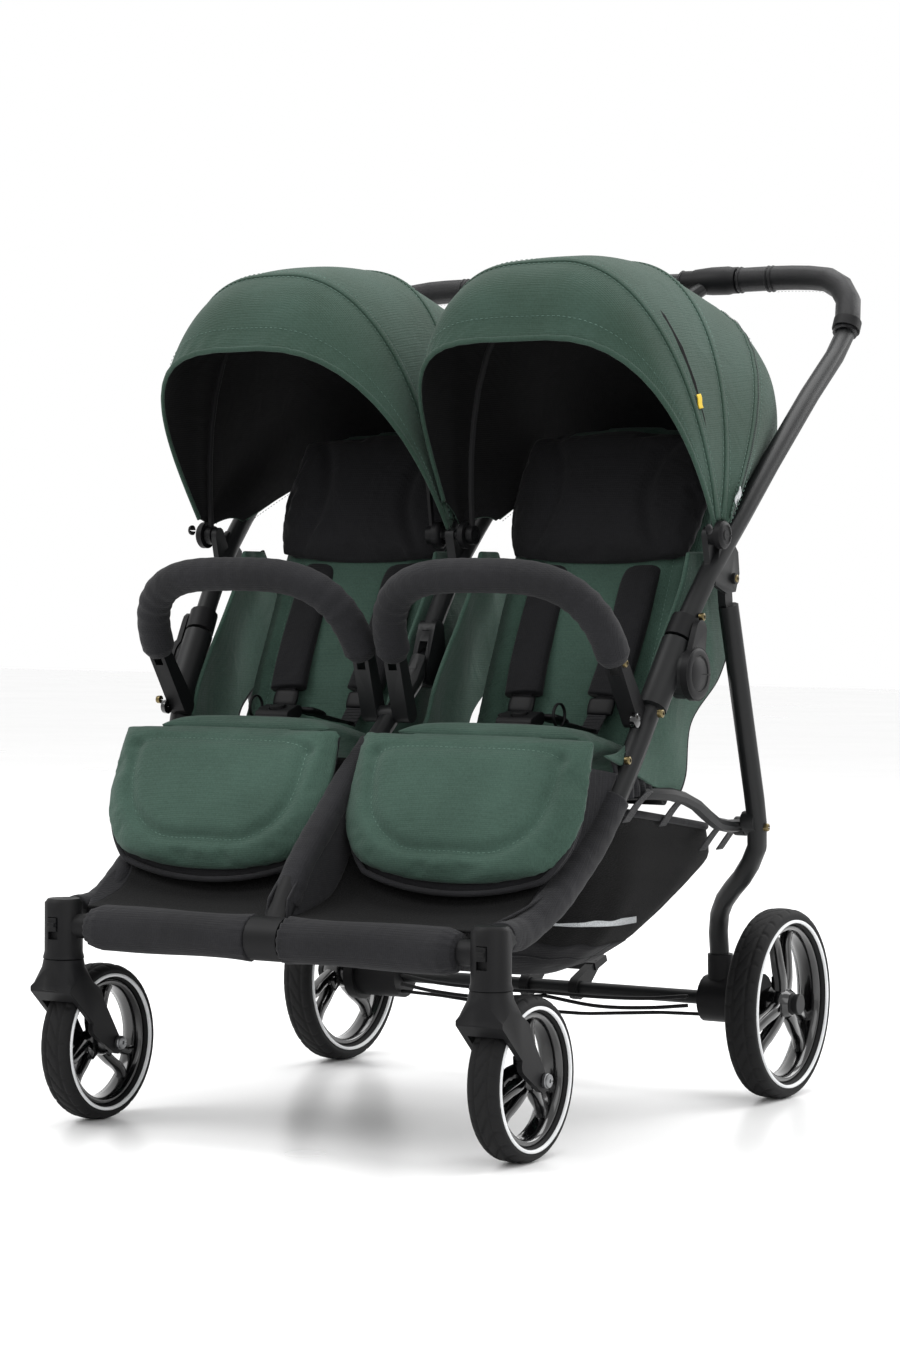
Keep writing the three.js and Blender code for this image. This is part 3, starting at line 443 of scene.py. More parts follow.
def cellular(name, dark, light, cell_mm, bump, rough, metallic=0.0, coat=0.0):
    """Skins with cells, as leather, air mesh and foamed rubber have: a Voronoi net in height and colour."""
    made, tree, bsdf, where = blank(name, {"Roughness": rough, "Metallic": metallic, "Coat Weight": coat,
                                           "Coat Roughness": 0.2, "Specular IOR Level": 0.25})
    cells = node(tree, "ShaderNodeTexVoronoi", {"Vector": where, "Scale": 1000 / cell_mm},
                 feature="DISTANCE_TO_EDGE")
    edge = node(tree, "ShaderNodeMapRange", {"Value": cells.outputs["Distance"], "From Max": 0.25})
    ramp = node(tree, "ShaderNodeValToRGB", {"Fac": edge.outputs["Result"]})
    ramp.color_ramp.elements[0].color = linear(dark)
    ramp.color_ramp.elements[1].color = linear(light)
    relief = node(tree, "ShaderNodeBump", {"Height": edge.outputs["Result"], "Strength": bump,
                                           "Distance": 0.0008})
    tree.links.new(ramp.outputs["Color"], bsdf.inputs["Base Color"])
    tree.links.new(relief.outputs["Normal"], bsdf.inputs["Normal"])
    return made


FINISH = {}


def make_finishes(colours):
    """Every finish of the pushchair, by its own name."""
    c = colours
    # steel and aluminium tube under satin powder coat: faint orange peel, soft highlights
    FINISH["frame_tube"] = speckled("satin powder coated tube", c.frame, "#131415", (0.4, 0.52), 2.2, 0.12,
                                    {"Specular IOR Level": 0.25})
    # moulded glass filled nylon: even spark-eroded grain, dull highlights
    FINISH["black_plastic"] = speckled("moulded black nylon", c.plastic, "#0b0b0c", (0.45, 0.58), 1.2, 0.22,
                                       {"Specular IOR Level": 0.18})
    # polished mould, so the rim shows clear reflections
    FINISH["rim_plastic"] = speckled("gloss moulded rim", "#040405", "#070708", (0.12, 0.2), 9, 0.02,
                                     {"Coat Weight": 0.5, "Coat Roughness": 0.08})
    # foamed EVA: fine open cells, dusty grey-black
    FINISH["tyre"] = cellular("foamed tyre rubber", "#060607", "#0b0b0c", 2.6, 0.12, 0.72)
    FINISH["grip"] = cellular("imitation leather", "#08080a", "#131315", 1.8, 0.35, 0.42)
    FINISH["green"] = woven("green melange cloth", c.cloth_dark, c.cloth_light, 2.2, 0.35, crease=0.22)
    # the padded pieces get a lighter copy of the green cloth: painted light that stands in for the light
    # falling on the backs, seats and legrests
    FINISH["green_pad"] = woven("green padded cloth", c.pad_dark, c.pad_light, 2.2, 0.35, crease=0.4)
    FINISH["black"] = woven("black cover cloth", "#111113", "#1e1e21", 2.4, 0.3, sheen=0.05, crease=0.4)
    FINISH["lining"] = woven("black lining cloth", "#040405", "#09090a", 2.4, 0.3, sheen=0.0, crease=0.4)
    FINISH["soft_black"] = woven("black jersey pad", "#0b0b0d", "#141417", 2.8, 0.2, sheen=0.04, crease=0.5)
    # warp-knitted air mesh, its holes drawn 3 mm apart so that they show
    FINISH["mesh"] = cellular("black air mesh", "#020202", "#070708", 3.4, 0.6, 0.9)
    FINISH["webbing"] = woven("black polyester webbing", "#0c0c0e", "#1d1d20", 1.8, 0.7, sheen=0.05,
                              crease=0.0,
                              rough=0.6)
    FINISH["thread_green"] = woven("green sewing thread", "#2c4239", "#5d766c", 1.0, 0.2, crease=0.0)
    FINISH["thread_black"] = woven("black sewing thread", "#1c1c1f", "#2c2c30", 1.0, 0.2, crease=0.0)
    FINISH["steel_fastener"] = speckled("yellow plated screw", "#5f5439", "#7d7050", (0.25, 0.4), 1.0, 0.05,
                                        {"Metallic": 1.0})
    FINISH["zinc"] = speckled("zinc plated bolt", "#6e6f70", "#8f9092", (0.3, 0.42), 1.0, 0.05,
                              {"Metallic": 1.0})
    FINISH["reflective"] = cellular("reflective tape", "#8f9294", "#c4c7c9", 1.6, 0.1, 0.35, 0.3)
    FINISH["white_ring"] = speckled("reflective white ring", "#c9cbcc", "#e4e5e6", (0.4, 0.5), 2.0, 0.03)
    FINISH["tag"] = speckled("woven tag", "#b89a1e", "#d1b434", (0.7, 0.8), 1.0, 0.2)
    FINISH["floor"] = speckled("pale studio floor", "#f3f3f3", "#f6f6f6", (0.22, 0.3), 3.0, 0.0,
                               {"Specular IOR Level": 0.35}, mottle_mm=900)


# ---- frame pieces carried over from the CAD model ----
NODE_FINISH = {
    "frame_tube": ("front_tube_", "upper_tube_", "rear_leg_", "seat_rail_", "handlebar", "back_tube",
                   "rear_axle",
                   "front_crossbar"),
    "black_plastic": ("caster_housing_", "caster_fork_", "bumper_mount_", "swivel_lock_", "hub_cap_",
                      "axle_housing_", "canopy_bow_", "harness_buckle_", "harness_button_", "crossbar_joiner",
                      "brake_pedal", "brake_cable"),
    "zinc": ("front_axle_bolt_",),
    "grip": ("grip_",),
}
COVERED = ("canopy_left", "canopy_right", "seat_shell_", "backrest_", "legrest_", "bumper_bar_", "basket",
           "calf_panel_", "front_tyre_", "rear_tyre_", "front_rim_", "rear_rim_")


def body_of_node(name):
    for body, nodes in frame["record"]["behaviour"]["bodies"].items():
        if name in nodes:
            return body
    raise RuntimeError("no body holds " + name)


def make_frame_skins():
    """Each hard CAD node gets a welded skin of the same shape, its edges rounded by a bevel."""
    for name, original in frame["nodes"].items():
        if name.startswith(COVERED):
            continue
        finish = next(key for key, starts in NODE_FINISH.items() if name.startswith(starts))
        skin = bpy.data.objects.new(name + "_skin", original.data.copy())
        bpy.context.scene.collection.objects.link(skin)
        skin.data.transform(original.matrix_world)
        skin.data.materials.clear()
        skin.data.materials.append(FINISH[finish])
        work = bmesh.new()
        work.from_mesh(skin.data)
        bmesh.ops.remove_doubles(work, verts=work.verts, dist=1e-5)
        bmesh.ops.dissolve_limit(work, angle_limit=math.radians(1.5), verts=work.verts, edges=work.edges)
        work.to_mesh(skin.data)
        work.free()
        skin.data.polygons.foreach_set("use_smooth", np.ones(len(skin.data.polygons), bool))
        skin.data.set_sharp_from_angle(angle=math.radians(42))
        round_over = skin.modifiers.new("rounded edges", "BEVEL")
        round_over.width = 0.0008
        round_over.segments = 2
        round_over.limit_method = "ANGLE"
        round_over.angle_limit = math.radians(42)
        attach(skin, body_of_node(name))
        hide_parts(name)


# ---- wheels ----
def tyre(name, radius, depth, width, x, centre, blocks, finish):
    """A tyre section turned about its axle; the tread sinks along waves that run across it."""
    inner = radius - depth
    half = width / 2
    outline = np.array([[inner, -half * 0.7], [inner + 3, -half * 0.86], [radius - depth * 0.45, -half],
                        [radius - 4, -half * 0.9], [radius - 1.2, -half * 0.68], [radius, -half * 0.3],
                        [radius, half * 0.3], [radius - 1.2, half * 0.68], [radius - 4, half * 0.9],
                        [radius - depth * 0.45, half], [inner + 3, half * 0.86], [inner, half * 0.7]])
    section = smooth(np.c_[outline, np.zeros(len(outline))], 46)[:, :2]
    t = np.linspace(0, 2 * np.pi, blocks * 12, endpoint=False)[:, None]
    r, along = section[None, :, 0], section[None, :, 1]
    wave = np.abs(np.sin(blocks / 2 * t + 2.2 * np.sin(along / half * 2.4)))
    groove = np.exp(-(wave / 0.22) ** 2) * np.clip((r - radius + 6) / 4, 0, 1)
    ribs = np.exp(-((np.abs(along) - half * 0.42) / 1.3) ** 2) * np.clip((r - radius + 3) / 2, 0, 1)
    r = r - 1.6 * np.maximum(groove, ribs)
    grid = np.stack([x + along + 0 * t, centre[0] + r * np.cos(t), centre[1] + r * np.sin(t)], 2)
    grid = np.concatenate([grid, grid[:1]])
    closed = np.concatenate([grid, grid[:, :1]], 1)
    return tidy(surface(name, at(closed), FINISH[finish]))


def rim(name, radius, width, hub, hub_half, x, centre, k=1):
    """A rim ring, a hub and three split spokes, each side of a spoke a tapering bar from hub to ring."""
    half = width / 2
    ring = lathe([(radius - 7, x - half + 1), (radius - 5, x - half), (radius - 1, x - half),
                  (radius, x - half + 1),
                  (radius, x + half - 1), (radius - 1, x + half), (radius - 5, x + half),
                  (radius - 7, x + half - 1), (radius - 9, x + 4), (radius - 9, x - 4),
                  (radius - 7, x - half + 1)], centre, 96)
    parts = [tidy(surface(name + "_ring", np.concatenate([ring, ring[:1]]), FINISH["rim_plastic"]))]
    core = lathe([(0.5, x + hub_half), (hub * 0.55, x + hub_half), (hub * 0.62, x + hub_half - 1.5),
                  (hub * 0.8, x + hub_half - 2), (hub, x + hub_half - 8), (hub * 1.15, x + 6),
                  (hub * 1.15, x - 6),
                  (hub, x - hub_half + 8), (hub * 0.8, x - hub_half + 2), (0.5, x - hub_half)], centre, 48)
    parts.append(surface(name + "_hub", core, FINISH["rim_plastic"], sharp=35))
    tidy(parts[-1])
    for turn in range(3):
        a = math.radians(90 + 120 * turn)
        ahead = np.array([math.cos(a), math.sin(a)])
        across = np.array([-math.sin(a), math.cos(a)])
        for side in (-1, 1):
            reach = np.array([hub * 0.7, hub * 1.5, radius * 0.5, radius * 0.75, radius * 0.93])
            offset = side * np.array([hub * 0.28, hub * 0.42, radius * 0.12, radius * 0.155, radius * 0.27])
            line = centre + reach[:, None] * ahead + offset[:, None] * across
            bow = np.array([5, 6, 4, 1, 0]) * k
            path = smooth(at(np.c_[x + bow, line]), 26)
            bar = sweep(path, oval(15 * MM, radius * 0.14 * MM, 20, 3.2), swell=np.linspace(1.15, 0.95, 26))
            parts.append(surface(f"{name}_spoke_{turn}_{side + 1}", bar, FINISH["rim_plastic"], wrap=True,
                                 closed=True))
        web = at(np.stack([np.full((2, 2), x - 1.0 * k),
                           centre[0] + np.array([[hub * ahead[0] + 8 * across[0],
                                                  hub * ahead[0] - 8 * across[0]],
                                                 [radius * 0.34 * ahead[0] + 9 * across[0],
                                                  radius * 0.34 * ahead[0] - 9 * across[0]]]),
                           centre[1] + np.array([[hub * ahead[1] + 8 * across[1],
                                                  hub * ahead[1] - 8 * across[1]],
                                                 [radius * 0.34 * ahead[1] + 9 * across[1],
                                                  radius * 0.34 * ahead[1] - 9 * across[1]]])], 2))
        parts.append(thickened(surface(f"{name}_web_{turn}", web, FINISH["rim_plastic"]), 0.01, offset=0))
    return joined(name, parts)


def joined(name, parts):
    """One mesh made of several finished ones, modifiers included."""
    graph = bpy.context.evaluated_depsgraph_get()
    work = bmesh.new()
    for part in parts:
        work.from_mesh(bpy.data.meshes.new_from_object(part.evaluated_get(graph)))
    material = parts[0].data.materials[0]
    for part in parts:
        bpy.data.objects.remove(part)
    mesh = bpy.data.meshes.new(name)
    work.to_mesh(mesh)
    work.free()
    mesh.materials.append(material)
    made = bpy.data.objects.new(name, mesh)
    bpy.context.scene.collection.objects.link(made)
    return made


def make_wheels():
    sets = (("front", 94, 18, 40, FRONT_TRACK, (0, 94), 26, "front_wheel_{side}", 15, 20, 80.7),
            ("rear", 120, 20, 42, REAR_TRACK, (WHEELBASE, 120), 32, "rear_wheel_{side}", 19, 22, 104.5))
    for name, radius, depth, width, x, centre, blocks, body, hub, hub_half, ring in sets:
        made = tyre(f"{name}_tyre_tread_right", radius, depth, width, x, centre, blocks, "tyre")
        pair(made, body, name + "_tyre_{side}")
        made = rim(f"{name}_rim_gloss_right", radius - depth, 28, hub, hub_half, x, np.array(centre, float))
        pair(made, body, name + "_rim_{side}")
        for face in (-1, 1):
            lip = x + face * (width / 2 - 2.2)
            band = lathe([(ring - 2.0, lip), (ring - 1.8, lip + face * 2.6), (ring, lip + face * 3.0),
                          (ring + 1.8, lip + face * 2.6), (ring + 2.0, lip)], centre, 128)
            band = np.concatenate([band, band[:1]])
            strip = tidy(surface(f"{name}_ring_{'in' if face < 0 else 'out'}_right", band,
                                 FINISH["white_ring"]))
            pair(strip, body)
    # rear hub caps close the outer ends of the axle
    cap = lathe([(0.3, 352), (8, 352), (12, 350.5), (14, 348), (14.5, 344)], (WHEELBASE, 120), 40)
    fitted("rear_hub_plug_right", cap, "black_plastic", "rear_wheel_{side}", sharp=40)


# ---- canopies ----
# Rows run from the visor's hem over the front bow, the middle bow and the zip down to the rear flap's hem:
# each holds its lean in degrees, its reach above the pivot, and on each side its half width and squareness.
CANOPY_ROWS = {
    "right": ((120, 267, 190, 5.0, 175, 2.6), (103, 336, 190, 3.8, 178, 2.15), (75, 350, 188, 3.0, 180, 2.1),
              (52, 374, 184, 2.8, 185, 2.4), (35, 345, 166, 4.0, 166, 4.0), (21, 292, 156, 5.0, 156, 5.0)),
    "left": ((127, 284, 181, 3.6, 188, 2.5), (107, 338, 181, 3.0, 186, 2.3), (77, 350, 181, 2.6, 186, 2.3),
             (52, 374, 184, 2.6, 184, 2.4), (35, 345, 166, 4.0, 166, 4.0), (21, 292, 156, 5.0, 156, 5.0)),
}
STOPS = (0.0, 0.27, 0.52, 0.74, 0.9, 1.0)
BOW_AT, MIDDLE_AT, ZIP_AT, FLAP_AT = 0.27, 0.52, 0.74, 0.99
DRAW = (0.004, 0.013, 0.015, 0.004, 0.0)


def canopy_grid(side, columns=140, rows=150, inset=0.0, v=None):
    """Arches fanned about the pivot: each row is half of a superellipse leaning at its own angle, and
    between two bows the cloth is drawn in by a shallow arc, as stretched cloth is."""
    v = np.linspace(0, 1, rows) if v is None else np.asarray(v, float)
    stops = np.array(STOPS)
    table = np.array(CANOPY_ROWS[side], float)
    fine = smooth(np.c_[stops, table], 600)
    row = np.stack([np.interp(v, fine[:, 0], fine[:, k]) for k in range(1, 7)], 1)[..., None]
    lean, reach, half_low, square_low, half_high, square_high = (row[:, k] for k in range(6))
    t = np.pi * (0.004 + 0.992 * np.linspace(0, 1, columns))[None]
    c, s = np.cos(t), np.sin(t)
    n = np.where(c < 0, square_low, square_high)
    half = np.where(c < 0, half_low, half_high) - inset
    off = half * np.sign(c) * np.abs(c) ** (2 / n)
    rise = (reach - inset) * s ** (2 / n)
    k = np.clip(np.searchsorted(stops, v, side="right") - 1, 0, len(DRAW) - 1)
    span = (v - stops[k]) / (stops[k + 1] - stops[k])
    draw = np.array(DRAW)[k] * np.sin(np.pi * span)
    rise = rise * (1 - draw[:, None] * s)
    pull = np.exp(-((v[:, None] - ZIP_AT) / 0.05) ** 2) + 0.5 * np.exp(-((v[:, None] - 0.03) / 0.04) ** 2)
    rise = rise + 1.1 * np.sin(46 * t + 9 * np.sin(5 * v[:, None])) * pull * s
    a = np.radians(lean)
    centre = 191 if side == "right" else -191
    return np.stack([centre + off + 0 * rise, CANOPY_PIVOT[0] + rise * np.cos(a),
                     CANOPY_PIVOT[1] + rise * np.sin(a)], 2)


def canopy_row(side, v, start=0.02, end=0.98, count=200, lift=0.0):
    row = canopy_grid(side, 500, v=[v, v + 1e-3], inset=-lift)[0]
    length = np.r_[0, np.cumsum(np.linalg.norm(np.diff(row, axis=0), axis=1))]
    s = np.linspace(start, end, count) * length[-1]
    return at(np.stack([np.interp(s, length, row[:, k]) for k in range(3)], 1))


def outward(side, path):
    """Directions away from the canopy's middle, for what lies on the cloth."""
    return path - at([[191 if side == "right" else -191, CANOPY_PIVOT[0], CANOPY_PIVOT[1] + 80]])


def canopy_piece(piece):
    """Bakes the piece's placement into its mesh."""
    tuple(at([0, 540, 960]))
    tuple(at([0, 300, 1020]))
    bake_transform(piece)
    return piece


def canopy_band(name, side, v, wide, high, finish):
    """A flat band sewn over the cloth along one row, with a line of stitches on each side of it."""
    row = canopy_row(side, v, 0.015, 0.985, lift=0.4)
    ahead = canopy_row(side, v - 0.01, 0.015, 0.985, lift=0.4)
    tangent = np.gradient(row, axis=0)
    across = row - ahead
    across -= (across * tangent).sum(1)[:, None] * tangent / (tangent**2).sum(1)[:, None]
    across /= np.linalg.norm(across, axis=1)[:, None]
    normal = np.cross(across, tangent)
    normal /= np.linalg.norm(normal, axis=1)[:, None]
    section = oval(wide * MM, high * MM, 16, 2.6)
    rings = row[:, None] + section[None, :, :1] * across[:, None] + section[None, :, 1:] * normal[:, None]
    canopy_piece(surface(f"canopy_{name}_{side}", rings, FINISH[finish], wrap=True, closed=True))
    for k, shift in enumerate((-0.5, 0.5)):
        line = row + across * shift * (wide + 6) * MM
        canopy_piece(stitches(f"canopy_{name}_thread_{k}_{side}", line, outward(side, line),
                              FINISH["thread_green"],
                              7, (4.4, 0.8, 1.6)))


def canopy_badge(name, side, v, s, size, finish):
    """A small curved plate that lies on the cloth at a share s of one row."""
    row = canopy_row(side, v, s, s + 0.05, 12, lift=2.6)
    tangent = (row[-1] - row[0]) / np.linalg.norm(row[-1] - row[0])
    normal = outward(side, row[5:6])[0]
    normal -= (normal @ tangent) * tangent
    normal /= np.linalg.norm(normal)
    u, w = np.meshgrid(np.linspace(-1, 1, 9), np.linspace(-1, 1, 9))
    spots = (row[5] + u[..., None] * tangent * size[0] / 2 * MM
             + w[..., None] * np.cross(normal, tangent) * size[1] / 2 * MM
             + 0.0012 * np.sin(2.5 * u)[..., None] * normal)
    canopy_piece(thickened(surface(f"canopy_{name}_{side}", spots, FINISH[finish]), 0.0014, offset=0))


def make_canopies():
    for side, k in SIDES:
        cloth = surface(f"canopy_cloth_{side}", at(canopy_grid(side)), FINISH["green"])
        cloth.data.materials.append(FINISH["lining"])
        cloth.data.flip_normals()
        thickened(cloth, 0.0016, inner=1)
        canopy_piece(cloth)
        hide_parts(f"canopy_{side}")
        cut_sheet(cloth, at(canopy_grid(side)))
        # the visor's rolled hem
        hem = sweep(canopy_row(side, 0.0, 0.002, 0.998), oval(7 * MM, 5 * MM, 16), up=(0, 0, 1))
        canopy_piece(surface(f"canopy_hem_{side}", hem, FINISH["green"], wrap=True, closed=True))
        # flat-felled seams over both bows, the zip that opens the rear panel, and the flap's hem
        for name, v, wide, high in (("bow_seam", BOW_AT, 9, 3.4), ("mid_seam", MIDDLE_AT, 9, 3.4),
                                    ("zip_tape", ZIP_AT, 13, 2.4), ("flap_hem", FLAP_AT, 8, 3)):
            canopy_band(name, side, v, wide, high, "green")
        line = canopy_row(side, 0.07, 0.02, 0.98, lift=0.6)
        canopy_piece(stitches(f"canopy_visor_thread_{side}", line, outward(side, line),
                              FINISH["thread_green"], 7,
                              (4.4, 0.8, 1.6)))
        # zip teeth run down the middle of the tape
        line = canopy_row(side, ZIP_AT, 0.02, 0.98, lift=2.0)
        canopy_piece(stitches(f"canopy_zip_teeth_{side}", line, outward(side, line), FINISH["thread_black"],
                              3,
                              (1.6, 3.4, 1.6)))
        # a small woven tag on the outer side seam, and the reflective pull at the foot of the zip
        outer = (lambda s: s) if k > 0 else (lambda s: 1 - s - 0.05)
        canopy_badge("tag", side, BOW_AT + 0.04, outer(0.16), (17, 9), "tag")
        canopy_badge("zip_pull", side, ZIP_AT - 0.03, outer(0.03), (22, 12), "reflective")
    # pivot caps outside and inside, with a raised ring each
    for name, x, k, body in (("out", 379, 1, "upper_frame"), ("in", 13, -1, "upper_frame")):
        face = lathe([(0.3, x), (6, x), (7, x - k * 1.2), (11, x - k * 1.2), (12, x), (15, x - k * 0.8),
                      (17, x - k * 3),
                      (17, x - k * 10), (0.3, x - k * 10)], CANOPY_PIVOT, 40)
        fitted(f"canopy_pivot_{name}_right", face, "black_plastic", body, sharp=40)


# ---- seats ----
ALONG_BACK = (math.cos(BACK_LEAN), math.sin(BACK_LEAN))
OUT_BACK = (-math.sin(BACK_LEAN), math.cos(BACK_LEAN))


def back_place(local):
    """Local (x from the seat's middle, run up the back, height off the board) in the frame's axes."""
    return placed(local, (SEAT_X, *BACK_AXIS), ALONG_BACK, OUT_BACK)


def closed_pad(name, top, bottom, place, material):
    grid = np.concatenate([top, bottom[::-1]])
    made = surface(name, place(grid), material)
    left = surface(name + "_side", place(np.stack([top[:, 0], bottom[:, 0]], 1)), material)
    right = surface(name + "_side2", place(np.stack([top[:, -1], bottom[:, -1]], 1)), material)
    front = surface(name + "_side3", place(np.stack([top[0], bottom[0]], 1)), material)
    return tidy(joined(name, [made, left, right, front]))


def make_backs():
    top, bottom = pad(282, 486, 24, crown=7, low_corner=0.05, top_corner=0.3)
    shift = np.array([0, 262, 8])
    board = closed_pad("back_cover_right", top + shift, bottom + shift, back_place, FINISH["green_pad"])
    board = puffed(board, 0.006)
    out = np.array([0, *OUT_BACK])
    lines = []
    for x in (-92, 92):
        run = np.linspace(40, 470, 120)
        lines.append(back_place(np.stack([x + 8 * np.sin(run / 150), run, 0 * run + 30], 1)))
    for line in lines:
        pressed(board, line, 0.005, 0.008, out)
    for k, line in enumerate(lines):
        spots, normals = laid(board, line, out)
        thread = stitches(f"back_thread_{k}_right", spots, normals, FINISH["thread_green"])
        pair(thread, "backrest_{side}", None)
    subdivided(board, 1)
    pair(board, "backrest_{side}", "backrest_{side}")[0]
    # the padded head support over the top of the back
    top, bottom = pad(286, 196, 26, crown=12, low_corner=0.5, top_corner=0.3)
    shift = np.array([0, 384, 34])
    head = closed_pad("head_pad_right", top + shift, bottom + shift, back_place, FINISH["soft_black"])
    head = puffed(head, 0.007)
    for side in (-1, 1):
        run = np.linspace(-86, 86, 80)
        line = back_place(np.stack([side * (62 + 34 * (run / 86) ** 2), 384 + run, 0 * run + 60], 1))
        pressed(head, line, 0.006, 0.008, out)
    subdivided(head, 1)
    for piece in pair(head, "backrest_{side}", None):
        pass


PAN_FRONT = (130, 480)
PAN_BACK = (296, 442)


def crumpled(pieces):
    """Gives each piece a mesh of its own."""
    for piece in pieces:
        tuple(at([SEAT_X, 240, 425]))
        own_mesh(piece)


def make_seats():
    run = np.array([PAN_BACK[0] - PAN_FRONT[0], PAN_BACK[1] - PAN_FRONT[1]], float)
    length = np.linalg.norm(run)
    ahead = run / length
    up = (-ahead[1], ahead[0])
    top, bottom = pad(268, length + 10, 24, crown=6, low_corner=0.12, top_corner=0.05, count=(36, 30))
    seat = closed_pad("seat_cushion_right", top + (0, length / 2, -8), bottom + (0, length / 2, -8),
                      lambda p: placed(p, (SEAT_X, *PAN_FRONT), ahead, up), FINISH["green_pad"])
    seat = puffed(seat, 0.005)
    subdivided(seat, 1)
    made = pair(seat, "seat_frame", "seat_shell_{side}")
    crumpled(made)
    # side walls: cloth between the frame tube in front and the seat's rear edge
    front = np.array([(150, 452), (188, 456), (222, 478), (243, 520), (270, 562), (304, 608), (336, 654),
                      (352, 690)], float)
    rear = np.array([(300, 398), (322, 400), (338, 420), (348, 482), (424, 540), (448, 583), (436, 644),
                     (408, 690)], float)
    edge_f = smooth(np.c_[np.zeros(8), front], 60)[:, 1:]
    edge_r = smooth(np.c_[np.zeros(8), rear], 60)[:, 1:]
    v = np.linspace(0, 1, 26)[None, :, None]
    flat = edge_f[:, None] * (1 - v) + edge_r[:, None] * v
    for name, face in (("outer", 1), ("inner", -1)):
        u = np.linspace(0, 1, 60)[:, None]
        w = np.linspace(0, 1, 26)[None]
        bulge = 9 * np.sin(np.pi * u) * np.sin(np.pi * w) + 2.2 * np.sin(17 * u + 6 * w) * np.sin(np.pi * w)
        lean = 143 + 9 * w + bulge + (6 * u if face > 0 else -4 * u)
        grid = np.concatenate([(SEAT_X + face * lean)[..., None], flat], 2)
        wall = surface(f"seat_wall_{name}_right", at(grid), FINISH["green_pad"])
        if face > 0:
            wall.data.flip_normals()
        thickened(wall, 0.006, offset=0)
        bevelled = wall.modifiers.new("soft edge", "SUBSURF")
        bevelled.levels = 1
        bevelled.render_levels = 1
        made = cut_sheet(pair(wall, "seat_frame", None), at(grid))
        crumpled(made)
        if face > 0:
            for k, share in enumerate((0.06, 0.13)):
                c = int(share * 25)
                line = at(grid[3:57, c] + (3.6 * face, 0, 0))
                normals = np.tile((face, 0.0, 0.0), (len(line), 1))
                crumpled(pair(stitches(f"seat_wall_thread_{k}_right", line, normals, FINISH["thread_green"]),
                              "seat_frame", None))
            binding = sweep(at(grid[:, -1]), oval(6 * MM, 6 * MM, 12), up=(1, 0, 0))
            crumpled(fitted("seat_wall_binding_right", binding, "black", "seat_frame", "black_fabric",
                            wrap=True, closed=True))
    # gathered lining under the seat, down to the rails
    u = np.linspace(0, 1, 70)[:, None]
    w = np.linspace(0, 1, 16)[None]
    y = 176 + 150 * u + 0 * w
    z = (446 - 36 * u) * (1 - w) + (396 + 6 * np.sin(3 * u)) * w
    x = SEAT_X + 140 + 6 * w + 4 * np.sin(60 * u) * w + 3 * np.sin(np.pi * w)
    grid = at(np.stack([x + 0 * y, y, z], 2))
    lining = surface("seat_lining_right", grid, FINISH["black"])
    lining.data.flip_normals()
    thickened(lining, 0.003, offset=0)
    crumpled(cut_sheet(pair(lining, "seat_frame", None), grid))


def make_legrests():
    down = (math.sin(LEGREST_LEAN) * -1, -math.cos(LEGREST_LEAN))
    out = (-math.cos(LEGREST_LEAN), math.sin(LEGREST_LEAN))
    place = lambda p: placed(p, (SEAT_X, 108, 468), down, out)
    top, bottom = pad(330, 194, 26, crown=7, low_corner=0.1, top_corner=0.78, count=(60, 44))
    shift = np.array([0, 86, 2])
    rest = closed_pad("legrest_cover_right", top + shift, bottom + shift, place, FINISH["green_pad"])
    rest = puffed(rest, 0.006)
    way = np.array([0, *out])
    # the U of topstitch inside the edge, and the channel that it pulls in
    path = np.array([(-122, 28), (-120, 66), (-108, 106), (-66, 138), (0, 142), (66, 138), (108, 106),
                     (120, 66), (122, 28)], float)
    line = place(smooth(np.c_[path, np.full(9, 40.0)], 160))
    pressed(rest, line, 0.0065, 0.008, way)
    brow = place(smooth(np.array([(-128, 26, 40), (-100, 18, 40), (0, 16, 40), (100, 18, 40),
                                  (128, 26, 40)], float), 80))
    pressed(rest, brow, 0.005, 0.007, way)
    for k, run in enumerate((line, brow)):
        spots, normals = laid(rest, run, way)
        pair(stitches(f"legrest_thread_{k}_right", spots, normals, FINISH["thread_green"]),
             "legrest_{side}", None)
    subdivided(rest, 1)
    for piece in pair(rest, "legrest_{side}", "legrest_{side}"):
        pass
    # a black underside with its piped edge shows below the green cover
    top, bottom = pad(304, 190, 18, crown=0, low_corner=0.1, top_corner=0.78, count=(60, 44))
    shift = np.array([0, 92, -10])
    under = closed_pad("legrest_under_right", top + shift, bottom + shift, place, FINISH["black"])
    for piece in pair(under, "legrest_{side}", None):
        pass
    rim_line = np.concatenate([top[:, 0][8:], top[-1][1:-1], top[::-1, -1][:-8]]) * (1, 1, 0) + (0, 92, -1)
    piping = sweep(smooth(place(rim_line), 220), oval(7 * MM, 7 * MM, 12), up=tuple(way))
    fitted("legrest_piping_right", piping, "black", "legrest_{side}", "black_fabric", wrap=True, closed=True)


